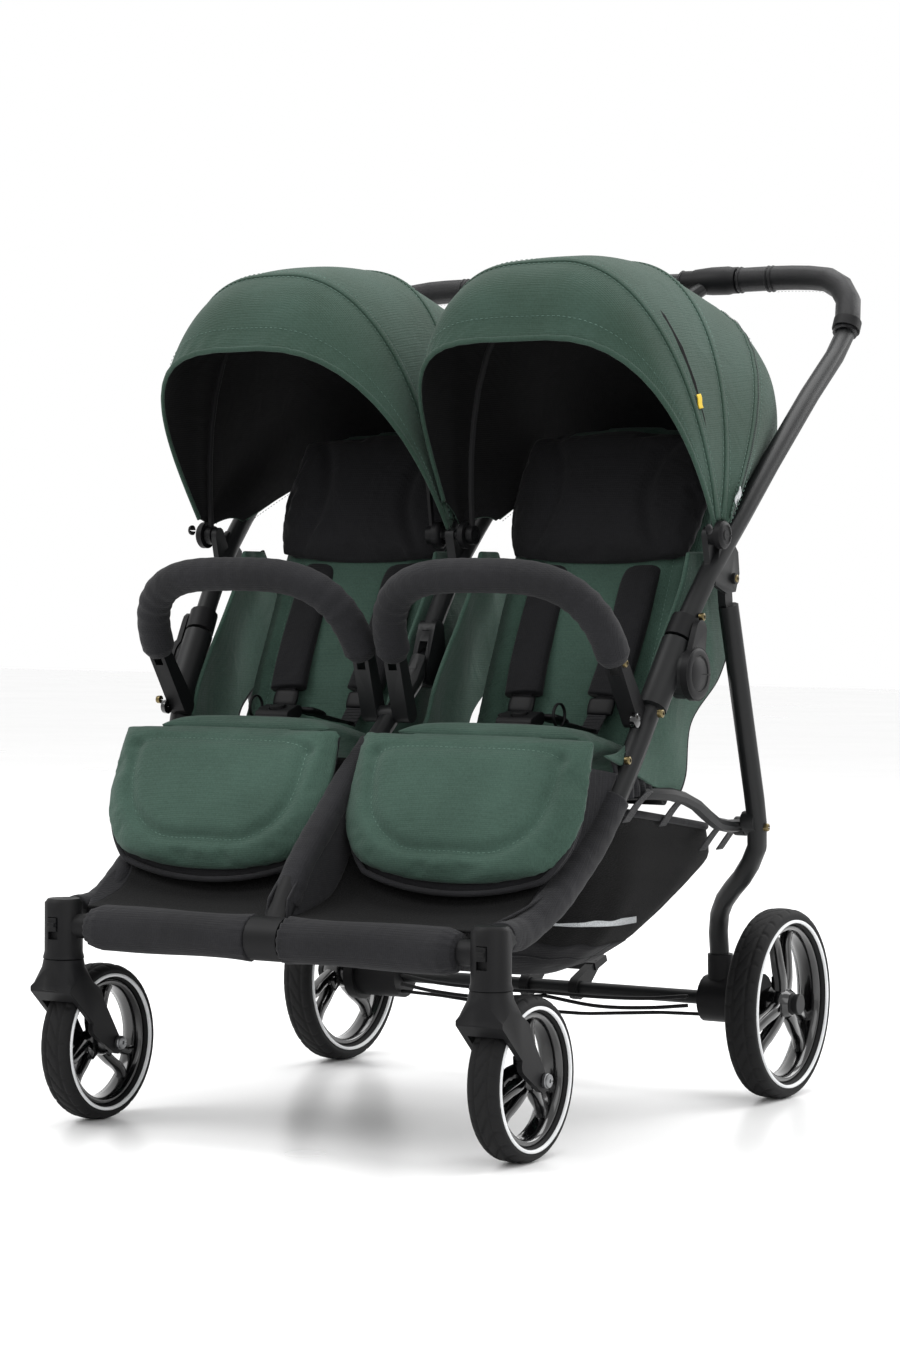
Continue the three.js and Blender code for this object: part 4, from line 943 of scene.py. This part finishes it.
def make_bumper_bars():
    lean = math.radians(120)
    a = np.radians(np.linspace(4, 176, 15))
    out = 150 * np.sign(np.cos(a)) * np.abs(np.cos(a)) ** 0.6
    rise = 12 + 104 * np.sin(a) ** 0.6 - 34 * (1 - np.sin(a))
    line = np.stack([SEAT_X + out, 167 + rise * math.cos(lean), 559 + rise * math.sin(lean)], 1)
    path = smooth(at(line), 260)
    t = np.linspace(0, 1, 260)
    ends = np.minimum(1, 0.72 + 12 * np.minimum(t, 1 - t))
    gathers = 0.022 * np.sin(t * 150) * (0.35 + np.exp(-((t - 0.17) / 0.06) ** 2)
                                         + np.exp(-((t - 0.83) / 0.06) ** 2))
    cover = sweep(path, oval(41 * MM, 41 * MM, 36), up=(0, 0.5, 0.86), swell=ends * (1 + gathers))
    made = surface("bumper_cover_right", cover, FINISH["black"], wrap=True, closed=True)
    for piece in pair(made, "bumper_bar_{side}", "bumper_bar_{side}"):
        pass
    inside = path + np.array([0, 0.018, -0.0105])
    seam = stitches("bumper_thread_right", inside[8:-8], np.tile((0, 0.86, -0.5), (244, 1)),
                    FINISH["thread_black"])
    pair(seam, "bumper_bar_{side}", None)
    # moulded adaptors under each end of the bar
    for name, x in (("outer", 322), ("inner", 22)):
        arm = smooth(at([(x, 161, 569), (x, 158, 582), (x, 153, 594)]), 12)
        bar = sweep(arm, oval(24 * MM, 30 * MM, 24, 3), up=(1, 0, 0), swell=np.linspace(1.0, 0.9, 12))
        fitted(f"bumper_adaptor_{name}_right", bar, "black_plastic", "bumper_bar_{side}", "black_plastic",
               wrap=True, closed=True)


# ---- harness ----
def strap(name, points, wide, thick, finish, up=(1, 0, 0), count=60, power=3.5):
    return surface(name, sweep(smooth(at(points), count), oval(wide * MM, thick * MM, 20, power), up=up),
                   FINISH[finish], wrap=True, closed=True)


def make_harness():
    for name, off in (("out", 63), ("in", -63)):
        x = SEAT_X + off
        k = np.sign(off)
        up_run = [(x + k * 3, 424, 672), (x, 402, 662), (x, 368, 606),
                  (x - k * 2, 338, 552),
                  (x - k * 6, 318, 514)]
        pad_piece = strap(f"shoulder_pad_{name}_right", up_run, 50, 20, "soft_black", power=2.8)
        for piece in pair(pad_piece, "backrest_{side}", None):
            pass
        web = [(x + k * 4, 430, 700), (x + k * 3, 408, 668), (x, 370, 608),
               (x, 338, 548),
               (x - k * 8, 308, 500), (x - k * 16, 294, 472)]
        pair(strap(f"shoulder_web_{name}_right", web, 25, 2.2, "webbing"), "backrest_{side}", None)
        loop = [(x - k * 14, 296, 474), (x - k * 22, 280, 477),
                (x - k * 32, 252, 484)]
        made = pair(strap(f"waist_web_{name}_right", loop, 25, 2.2, "webbing"), "seat_frame", None)
        crumpled(made)
        # ladder adjuster on the web, and the tongue that clips into the buckle
        for tag, spot, size, body in (("slide", (x - k * 8, 309, 502), (36, 24, 8),
                                       "backrest_{side}"),
                                      ("tongue", (x - k * 36, 240, 489), (30, 34, 8),
                                       "seat_frame")):
            top, bottom = pad(size[0], size[1], size[2], low_corner=0.3, top_corner=0.3, count=(12, 12))
            clip = closed_pad(f"harness_{tag}_{name}_right", top, bottom,
                              lambda p: placed(p, spot, (0.42, 0.9) if tag == "slide" else (0.97, -0.22),
                                               (-0.9, 0.42) if tag == "slide" else (0.22, 0.97)),
                                               FINISH["black_plastic"])
            pair(clip, body, None)
    crotch = [(SEAT_X, 232, 470), (SEAT_X, 214, 476), (SEAT_X, 192, 480), (SEAT_X, 176, 478)]
    made = pair(strap("crotch_pad_right", crotch, 64, 10, "soft_black", power=3), "seat_frame", None)
    crumpled(made)
    ring = lathe([(13, SEAT_X - 1.6), (15, SEAT_X - 1.6), (15, SEAT_X + 1.6), (13, SEAT_X + 1.6),
                  (13, SEAT_X - 1.6)], (224, 494), 40)
    ring = np.concatenate([ring, ring[:1]]) + (0.044, 0, 0)
    crumpled(fitted("harness_ring_right", ring, "black_plastic", "seat_frame"))


# ---- basket and front cloth ----
def make_basket():
    """Loops lofted from the rim down to the floor of the basket; each is a superellipse in plan."""
    t = np.linspace(0, 2 * np.pi, 160, endpoint=False)
    c, s = np.cos(t), np.sin(t)
    levels = ((300, 221, 494, 0.0), (296, 226, 504, 0.12), (288, 236, 526, 0.34), (276, 250, 556, 0.56),
              (262, 268, 562, 0.76), (246, 290, 548, 0.9), (205, 325, 510, 0.985), (120, 370, 460, 1.0),
              (4, 412, 420, 1.0))
    depth = np.array([row[3] for row in levels])
    numbers = smooth(np.array([(row[0], row[1], row[2]) for row in levels], float), 40)
    depth = np.interp(np.linspace(0, 8, 40), np.arange(9), depth)
    power = np.interp(depth, [0, 1], [7.0, 4.0])[:, None]
    half = numbers[:, :1]
    mid = (numbers[:, 1:2] + numbers[:, 2:3]) / 2
    reach = (numbers[:, 2:3] - numbers[:, 1:2]) / 2
    x = half * np.sign(c) * np.abs(c) ** (2 / power)
    y = mid + reach * np.sign(s) * np.abs(s) ** (2 / power)
    rim_z = 384 - 37 * (y - 221) / 273
    floor_z = 160 + 46 * np.clip((y - 455) / 100, 0, 1) ** 1.5 + 20 * np.clip((300 - y) / 60, 0, 1) ** 1.5
    sag = 9 * np.sin(np.pi * depth)[:, None] * np.sin(t * 9) * 0.35
    z = rim_z * (1 - depth[:, None]) + floor_z * depth[:, None] + sag
    loops = np.stack([x, y, z], 2)
    loops = np.concatenate([loops, loops[:, :1]], 1)
    length = np.concatenate([np.zeros((len(loops), 1)),
                             np.cumsum(np.linalg.norm(np.diff(loops, axis=1), axis=2), 1)], 1)
    share = np.linspace(0, 1, 160, endpoint=False)
    grid = at(np.stack([np.stack([np.interp(share * length[i, -1], length[i],
                                            loops[i, :, k]) for k in range(3)], 1)
                        for i in range(len(loops))]))
    shell = surface("basket_cloth", grid, FINISH["mesh"], wrap=True)
    thickened(shell, 0.0025, offset=0)
    pieces = [shell]
    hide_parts("basket")
    cut_sheet(shell, np.concatenate([grid, grid[:, :1]], 1))
    loop = np.concatenate([grid[0], grid[0][:1]])
    pieces.append(surface("basket_rim", sweep(loop, oval(9 * MM, 9 * MM, 14), up=(0, 0, 1)),
                          FINISH["black"], wrap=True))
    low = np.concatenate([grid[23], grid[23][:1]])
    pieces.append(surface("basket_piping", sweep(low, oval(5 * MM, 5 * MM, 12), up=(0, 0, 1)),
                          FINISH["black"], wrap=True))
    # the solid band below the mesh, and the reflective strip along each side
    band = grid[20:34] + (grid[20:34] - at([[0, 400, 260]])) * 0.006
    band = np.concatenate([band, band[:, :1]], 1)
    cloth = thickened(surface("basket_band", band, FINISH["black"]), 0.002, offset=0)
    pieces.append(cut_sheet(cloth, band))
    for side, k in SIDES:
        rows_z = grid[:, :, 2] - 0.236
        level = np.array([np.interp(0, rows_z[::-1, j], np.arange(len(grid))[::-1]) for j in range(160)])
        low = np.clip(level.astype(int), 0, len(grid) - 2)
        j = np.arange(160)
        line = grid[low, j] + (grid[low + 1, j] - grid[low, j]) * (level - low)[:, None]
        chosen = line[(k * line[:, 0] > 0) & (line[:, 1] > AXLE_Y + 0.256) & (line[:, 1] < AXLE_Y + 0.43)]
        chosen = chosen[np.argsort(chosen[:, 1])]
        spots = smooth(chosen[::3], 60)
        spots[:, 0] += k * 0.0042
        strip = sweep(spots, oval(1.2 * MM, 9 * MM, 8, 4), up=(1, 0, 0))
        pieces.append(surface(f"basket_strip_{side}", strip, FINISH["reflective"], wrap=True, closed=True))
    # straps that hang the basket from the rails
    for side, k in SIDES:
        for y, z in ((236, 398), (330, 388), (440, 352), (488, 350)):
            path = smooth(at([(k * 331, y, z + 9), (k * 318, y, z - 4), (k * 300, y, z - 28)]), 20)
            pieces.append(surface(f"basket_strap_{side}_{y}",
                                   sweep(path, oval(20 * MM, 2 * MM, 14, 4), up=(0, 1, 0)),
                                   FINISH["webbing"], wrap=True, closed=True))
    for piece in pieces:
        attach(piece, "seat_frame")
        tuple(at([0, 360, 365]))
        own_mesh(piece)


def make_front_cloth():
    # the sleeve of cloth over the crossbar: a rolled tube with gathers at its ends
    a = np.linspace(0, 2 * np.pi, 48, endpoint=False)[None]
    s = np.linspace(0, 1, 80)[:, None]
    x = 24 + 228 * s
    gather = 1.3 * np.sin(16 * a + 3) * (np.exp(-((s - 0.0) / 0.07) ** 2) + np.exp(-((s - 1) / 0.1) ** 2))
    r = 26.5 + gather + 0.9 * np.sin(7 * s + 2 * a) - 5 * np.clip(s - 0.93, 0, 1) / 0.07
    roll = np.stack([x + 0 * a, CROSSBAR[0] + r * np.cos(a), CROSSBAR[1] + r * np.sin(a)], 2)
    made = surface("crossbar_sleeve_right", at(roll), FINISH["black"], wrap=True, closed=True)
    left_right = pair(made, "front_frame", "calf_panel_{side}")
    crumple_front(left_right)
    # air mesh well behind the calves, sagging between the crossbar and the seat front
    w = np.linspace(0, 1, 40)[None]
    v = np.linspace(0, 1, 60)[:, None]
    line = smooth(np.array([(0, -58, 262), (0, -16, 268), (0, 38, 284), (0, 78, 330), (0, 110, 400),
                            (0, 124, 440)], float), 60)
    x = (14 + 4 * v) * (1 - w) + (268 + 34 * v) * w
    dip = 10 * np.sin(np.pi * w) * np.sin(np.pi * v)
    grid = np.stack([x + 0 * v, line[:, 1:2] + dip * 0.7, line[:, 2:3] - dip], 2)
    well = surface("calf_mesh_right", at(grid), FINISH["mesh"])
    thickened(well, 0.003, offset=0)
    crumple_front(cut_sheet(pair(well, "front_frame", None), at(grid)))
    # solid side gussets close the well against the tubes
    for name, points in (("outer", [(276, -40, 268), (296, 20, 290), (303, 78, 316), (311, 140, 372),
                                    (318, 180, 430)]),
                         ("inner", [(13, -52, 286), (12, -10, 326), (12, 50, 378), (12, 100, 424),
                                    (12, 150, 458)])):
        top_line = smooth(np.array(points, float), 60)
        low_line = grid[:, -1 if name == "outer" else 0]
        k = np.linspace(0, 1, 14)[None, :, None]
        gusset = at(top_line[:, None] * (1 - k) + low_line[:, None] * k)
        piece = surface(f"calf_gusset_{name}_right", gusset, FINISH["black"])
        thickened(piece, 0.003, offset=0)
        crumple_front(cut_sheet(pair(piece, "front_frame", None), gusset))
    # cloth sleeves on the side tubes and the middle tube
    for name, run, wide, high in (("side", [(293, -46, 256), (294, -4, 259), (301, 66, 293),
                                            (309, 138, 352), (316, 176, 400)], 35, 35),
                                  ("middle", [(0, -38, 276), (0, -8, 320), (0, 44, 368), (0, 92, 411),
                                              (0, 150, 455)], 33, 30)):
        path = smooth(at(run), 120)
        s = np.linspace(0, 1, 120)
        sleeve = sweep(path, oval(wide * MM, high * MM, 32, 2.3), up=(1, 0, 0),
                       swell=1 + 0.012 * np.sin(70 * s) + 0.02 * np.sin(19 * s))
        if name == "side":
            piece = surface("tube_sleeve_right", sleeve, FINISH["black"], wrap=True, closed=True)
            pair(piece, "front_frame", None)
        else:
            piece = surface("middle_sleeve", sleeve, FINISH["black"], wrap=True, closed=True)
            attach(piece, "front_frame")


def crumple_front(pieces):
    for piece in pieces:
        tuple(at([SEAT_X, -67, 240]))
        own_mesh(piece)


# ---- fittings ----
def make_fittings():
    # screw heads, each a domed disc with a ring round its socket
    spots = (("front_frame", 358, 214, 500), ("upper_frame", 368.5, 388, 658), ("upper_frame", 365, 306, 612),
             ("rear_frame", 368.5, 482, 352), ("front_frame", 334, 178, 446),
             ("front_frame", 334.5, 167, 559),
             ("front_frame", 330, 228, 470))
    for k, (body, x, y, z) in enumerate(spots):
        head = lathe([(1.6, x + 0.4), (1.8, x + 2.0), (3.2, x + 2.1), (4.6, x + 1.3), (5.0, x),
                      (5.0, x - 4), (0.2, x - 4)],
                     (y, z), 24)
        fitted(f"screw_{k}_right", head, "steel_fastener", body, "steel_fastener", sharp=40)
    for side_x, k in ((328.8, 1), (258.2, -1)):
        x = side_x
        head = lathe([(1.8, x), (2.2, x + k * 2.2), (6, x + k * 2.4), (7.4, x + k * 1.6), (7.8, x),
                      (7.8, x - k * 3), (0.2, x - k * 3)],
                     (0, 94), 32)
        fitted(f"axle_nut_{'out' if k > 0 else 'in'}_right", head, "zinc", "caster_{side}",
               "steel_fastener", sharp=40)
    # hub face: a shallow dish with a raised ring and a plain centre
    x = float(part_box("hub_cap_right")[1][0]) / MM
    face = lathe([(0.3, x + 1.4), (19, x + 1.4), (20, x + 0.6), (21.5, x + 0.6), (22.5, x + 2), (27, x + 2),
                  (29.5, x + 1.0),
                  (31, x - 0.6), (31, x - 6), (0.3, x - 6)], (283, 545), 64)
    fitted("hub_face_right", face, "black_plastic", "upper_frame", "black_plastic", sharp=40)
    # round push button under the bumper mount
    x = 334
    button = lathe([(0.3, x + 3), (6, x + 3), (8.4, x + 2), (9, x), (9, x - 4), (0.3, x - 4)], (196, 492), 32)
    fitted("bumper_button_right", button, "rim_plastic", "front_frame", "black_plastic", sharp=40)
    # handle: flared sleeves where the yoke meets the bar, collars, and the seams of the two grips
    for side, k in SIDES:
        sleeve = lathe([(11.2, 100), (14, 100), (15, 103), (15, 118), (16.4, 122), (18.6, 146), (18.9, 170),
                        (17.6, 176),
                        (17.6, 184), (11.2, 185)], HANDLE, 48)
        sleeve[..., 0] *= k
        piece = tidy(surface(f"handle_flare_{side}", sleeve, FINISH["black_plastic"], sharp=40))
        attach(piece, "upper_frame")
        for j, x in enumerate((103, 189, 229, 235)):
            r = 15.6 if j == 0 else 17.2
            ring = lathe([(r - 2, x - 1.6), (r, x - 1.1), (r + 0.5, x), (r, x + 1.1), (r - 2, x + 1.6)],
                         HANDLE, 48)
            ring = np.concatenate([ring, ring[:1]])
            ring[..., 0] *= k
            piece = tidy(surface(f"grip_ring_{side}_{j}", ring, FINISH["grip"]))
            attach(piece, "upper_frame")
    run = [(240, 768, 1053), (270, 768, 1053), (322, 764, 1046), (350, 750, 1020), (357, 734, 992)]
    line = smooth(at(run), 120) + np.array([0, 0.0, -0.0172])
    pair(stitches("grip_thread_right", line, np.tile((0, 0, -1.0), (120, 1)), FINISH["thread_black"], 5,
                  (3.4, 1.2, 1.0)),
         "upper_frame", None)
    end = sweep(smooth(at([(357.6, 733, 991), (358, 726, 979)]), 4), oval(36.5 * MM, 36.5 * MM, 40),
                up=(1, 0, 0))
    fitted("grip_end_right", end, "black_plastic", "upper_frame", "black_plastic", wrap=True, closed=True,
           sharp=40)
    # snap domes on the canopy side, near the pivot
    x = 372
    dome = lathe([(0.2, x + 3.4), (3.4, x + 3), (5.6, x + 1.6), (6.4, x), (6.4, x - 2)], (306, 716), 28)
    fitted("canopy_snap_right", dome, "black_plastic", "canopy_bow_{side}", "black_plastic", sharp=40)
    # the brake lines that run from each wheel's housing to the middle of the axle
    for k, z in ((0, -6), (1, 6)):
        run = [(0, WHEELBASE - 22, 112 + z * 0.4), (80, WHEELBASE - 26, 108 + z),
               (160, WHEELBASE - 34, 112 + z),
               (214, WHEELBASE - 30, 118 + z)]
        piece = surface(f"brake_line_{k}_right", sweep(smooth(at(run), 60), oval(5 * MM, 5 * MM, 12),
                                                       up=(0, 0, 1)),
                        FINISH["black_plastic"], wrap=True, closed=True)
        pair(piece, "rear_frame", None)


# ---- stage ----
def make_stage(sizes):
    scene = bpy.context.scene
    floor = surface("studio_floor", np.array([[(-14, -8, 0), (14, -8, 0)], [(-14, 16, 0), (14, 16, 0)]],
                                             float),
                    FINISH["floor"])
    yaw, pitch, roll = (math.radians(v) for v in (30.473, 1.573, 0.383))
    back = Vector((math.sin(yaw) * math.cos(pitch), -math.cos(yaw) * math.cos(pitch), math.sin(pitch)))
    right = Vector((math.cos(yaw), math.sin(yaw), 0))
    up = back.cross(right)
    x_axis = math.cos(roll) * right + math.sin(roll) * up
    y_axis = -math.sin(roll) * right + math.cos(roll) * up
    lens = bpy.data.cameras.new("camera")
    lens.sensor_fit = "VERTICAL"
    lens.sensor_height = 36
    lens.lens = sizes.lens
    lens.clip_end = 60
    camera = bpy.data.objects.new("camera", lens)
    scene.collection.objects.link(camera)
    columns = Matrix((x_axis, y_axis, back)).transposed().to_4x4()
    camera.matrix_world = Matrix.Translation((2.199, -3.745, 0.6546)) @ columns
    scene.camera = camera
    for name, place, size, power in (("key", (-2.6, -2.6, 4.2), 2.6, 90), ("fill", (3.8, -2.6, 2.6), 3.0, 45),
                                     ("top", (0.2, 0.9, 4.4), 3.4, 150), ("rear", (2.2, 4.0, 2.8), 2.4, 80)):
        light = bpy.data.lights.new(name, "AREA")
        light.size = size
        light.energy = power * sizes.light
        lamp = bpy.data.objects.new(name, light)
        scene.collection.objects.link(lamp)
        aim = Vector((0, 0.05, 0.5)) - Vector(place)
        lamp.matrix_world = Matrix.Translation(place) @ aim.to_track_quat("-Z", "Y").to_matrix().to_4x4()
    world = bpy.data.worlds.new("studio")
    world.use_nodes = True
    sky = world.node_tree.nodes["Background"]
    sky.inputs["Color"].default_value = (1, 1, 1, 1)
    sky.inputs["Strength"].default_value = sizes.sky
    scene.world = world
    scene.view_settings.view_transform = "Standard"


# ---- the add-on ----
class PushchairSizes(bpy.types.PropertyGroup):
    frame: bpy.props.StringProperty(name="Tube colour", description="Powder coat on the tubes",
                                    default="#0e0f10")
    plastic: bpy.props.StringProperty(name="Nylon colour", description="Moulded fittings", default="#0b0b0d")
    cloth_dark: bpy.props.StringProperty(name="Cloth shadow", description="Darker threads of the cover",
                                         default="#213429")
    cloth_light: bpy.props.StringProperty(name="Cloth light", description="Lighter threads of the cover",
                                          default="#2f443b")
    # the pad colours are the cover's green made lighter: painted light on the padded pieces
    pad_dark: bpy.props.StringProperty(name="Pad shadow", description="Darker threads of the padded pieces",
                                       default="#2a3e35")
    pad_light: bpy.props.StringProperty(name="Pad light", description="Lighter threads of the padded pieces",
                                        default="#3a5147")
    lens: bpy.props.FloatProperty(name="Lens", description="Camera lens in millimetres", default=92.76,
                                  min=20)
    light: bpy.props.FloatProperty(name="Lamps", description="Strength of all lamps", default=1.1, min=0)
    sky: bpy.props.FloatProperty(name="Sky", description="Strength of the white surround", default=1.0, min=0)


class Step:
    """What every building step shares: it runs its maker."""
    bl_options = {"REGISTER", "UNDO"}
    maker = None

    def execute(self, context):
        type(self).maker()
        return {"FINISHED"}


class PUSHCHAIR_OT_finishes(bpy.types.Operator):
    """Makes every material"""
    bl_idname = "pushchair.finishes"
    bl_label = "Finishes"

    def execute(self, context):
        make_finishes(context.scene.pushchair)
        return {"FINISHED"}


class PUSHCHAIR_OT_frame(Step, bpy.types.Operator):
    """Skins the tubes, brackets and other hard pieces"""
    bl_idname = "pushchair.frame"
    bl_label = "Frame"
    maker = staticmethod(make_frame_skins)


class PUSHCHAIR_OT_wheels(Step, bpy.types.Operator):
    """Tyres, rims and reflective rings"""
    bl_idname = "pushchair.wheels"
    bl_label = "Wheels"
    maker = staticmethod(make_wheels)


class PUSHCHAIR_OT_canopies(Step, bpy.types.Operator):
    """Canopy cloth with its seams, zip and caps"""
    bl_idname = "pushchair.canopies"
    bl_label = "Canopies"
    maker = staticmethod(make_canopies)


class PUSHCHAIR_OT_backs(Step, bpy.types.Operator):
    """Padded backs and head pads"""
    bl_idname = "pushchair.backs"
    bl_label = "Backs"
    maker = staticmethod(make_backs)


class PUSHCHAIR_OT_seats(Step, bpy.types.Operator):
    """Seat cushions, side walls and lining"""
    bl_idname = "pushchair.seats"
    bl_label = "Seats"
    maker = staticmethod(make_seats)


class PUSHCHAIR_OT_legrests(Step, bpy.types.Operator):
    """Legrest pads and their piping"""
    bl_idname = "pushchair.legrests"
    bl_label = "Legrests"
    maker = staticmethod(make_legrests)


class PUSHCHAIR_OT_bumpers(Step, bpy.types.Operator):
    """Bumper bar covers"""
    bl_idname = "pushchair.bumpers"
    bl_label = "Bumper bars"
    maker = staticmethod(make_bumper_bars)


class PUSHCHAIR_OT_harness(Step, bpy.types.Operator):
    """Straps, pads and clips"""
    bl_idname = "pushchair.harness"
    bl_label = "Harness"
    maker = staticmethod(make_harness)


class PUSHCHAIR_OT_basket(Step, bpy.types.Operator):
    """The basket with its band, strip and straps"""
    bl_idname = "pushchair.basket"
    bl_label = "Basket"
    maker = staticmethod(make_basket)


class PUSHCHAIR_OT_front(Step, bpy.types.Operator):
    """Cloth round the crossbar, the tubes and behind the calves"""
    bl_idname = "pushchair.front"
    bl_label = "Front cloth"
    maker = staticmethod(make_front_cloth)


class PUSHCHAIR_OT_fittings(Step, bpy.types.Operator):
    """Screws, caps, rings and handle sleeves"""
    bl_idname = "pushchair.fittings"
    bl_label = "Fittings"
    maker = staticmethod(make_fittings)


class PUSHCHAIR_OT_stage(bpy.types.Operator):
    """Floor, lamps and camera"""
    bl_idname = "pushchair.stage"
    bl_label = "Stage"

    def execute(self, context):
        make_stage(context.scene.pushchair)
        return {"FINISHED"}


STEPS = (PUSHCHAIR_OT_finishes, PUSHCHAIR_OT_stage, PUSHCHAIR_OT_frame, PUSHCHAIR_OT_wheels,
         PUSHCHAIR_OT_canopies,
         PUSHCHAIR_OT_backs, PUSHCHAIR_OT_seats, PUSHCHAIR_OT_legrests, PUSHCHAIR_OT_bumpers,
         PUSHCHAIR_OT_harness,
         PUSHCHAIR_OT_basket, PUSHCHAIR_OT_front, PUSHCHAIR_OT_fittings)


class PUSHCHAIR_PT_panel(bpy.types.Panel):
    """Lists the sizes, colours and building steps"""
    bl_label = "Pushchair"
    bl_idname = "PUSHCHAIR_PT_panel"
    bl_space_type = "VIEW_3D"
    bl_region_type = "UI"
    bl_category = "Pushchair"

    def draw(self, context):
        column = self.layout.column()
        for key in PushchairSizes.__annotations__:
            column.prop(context.scene.pushchair, key)
        for step in STEPS:
            column.operator(step.bl_idname)


CLASSES = (PushchairSizes, *STEPS, PUSHCHAIR_PT_panel)


def register():
    for entry in CLASSES:
        bpy.utils.register_class(entry)
    bpy.types.Scene.pushchair = bpy.props.PointerProperty(type=PushchairSizes)


def unregister():
    del bpy.types.Scene.pushchair
    for entry in reversed(CLASSES):
        bpy.utils.unregister_class(entry)


def main():
    register()
    for step in STEPS:
        group, name = step.bl_idname.split(".")
        getattr(getattr(bpy.ops, group), name)()


if __name__ == "__main__":
    main()
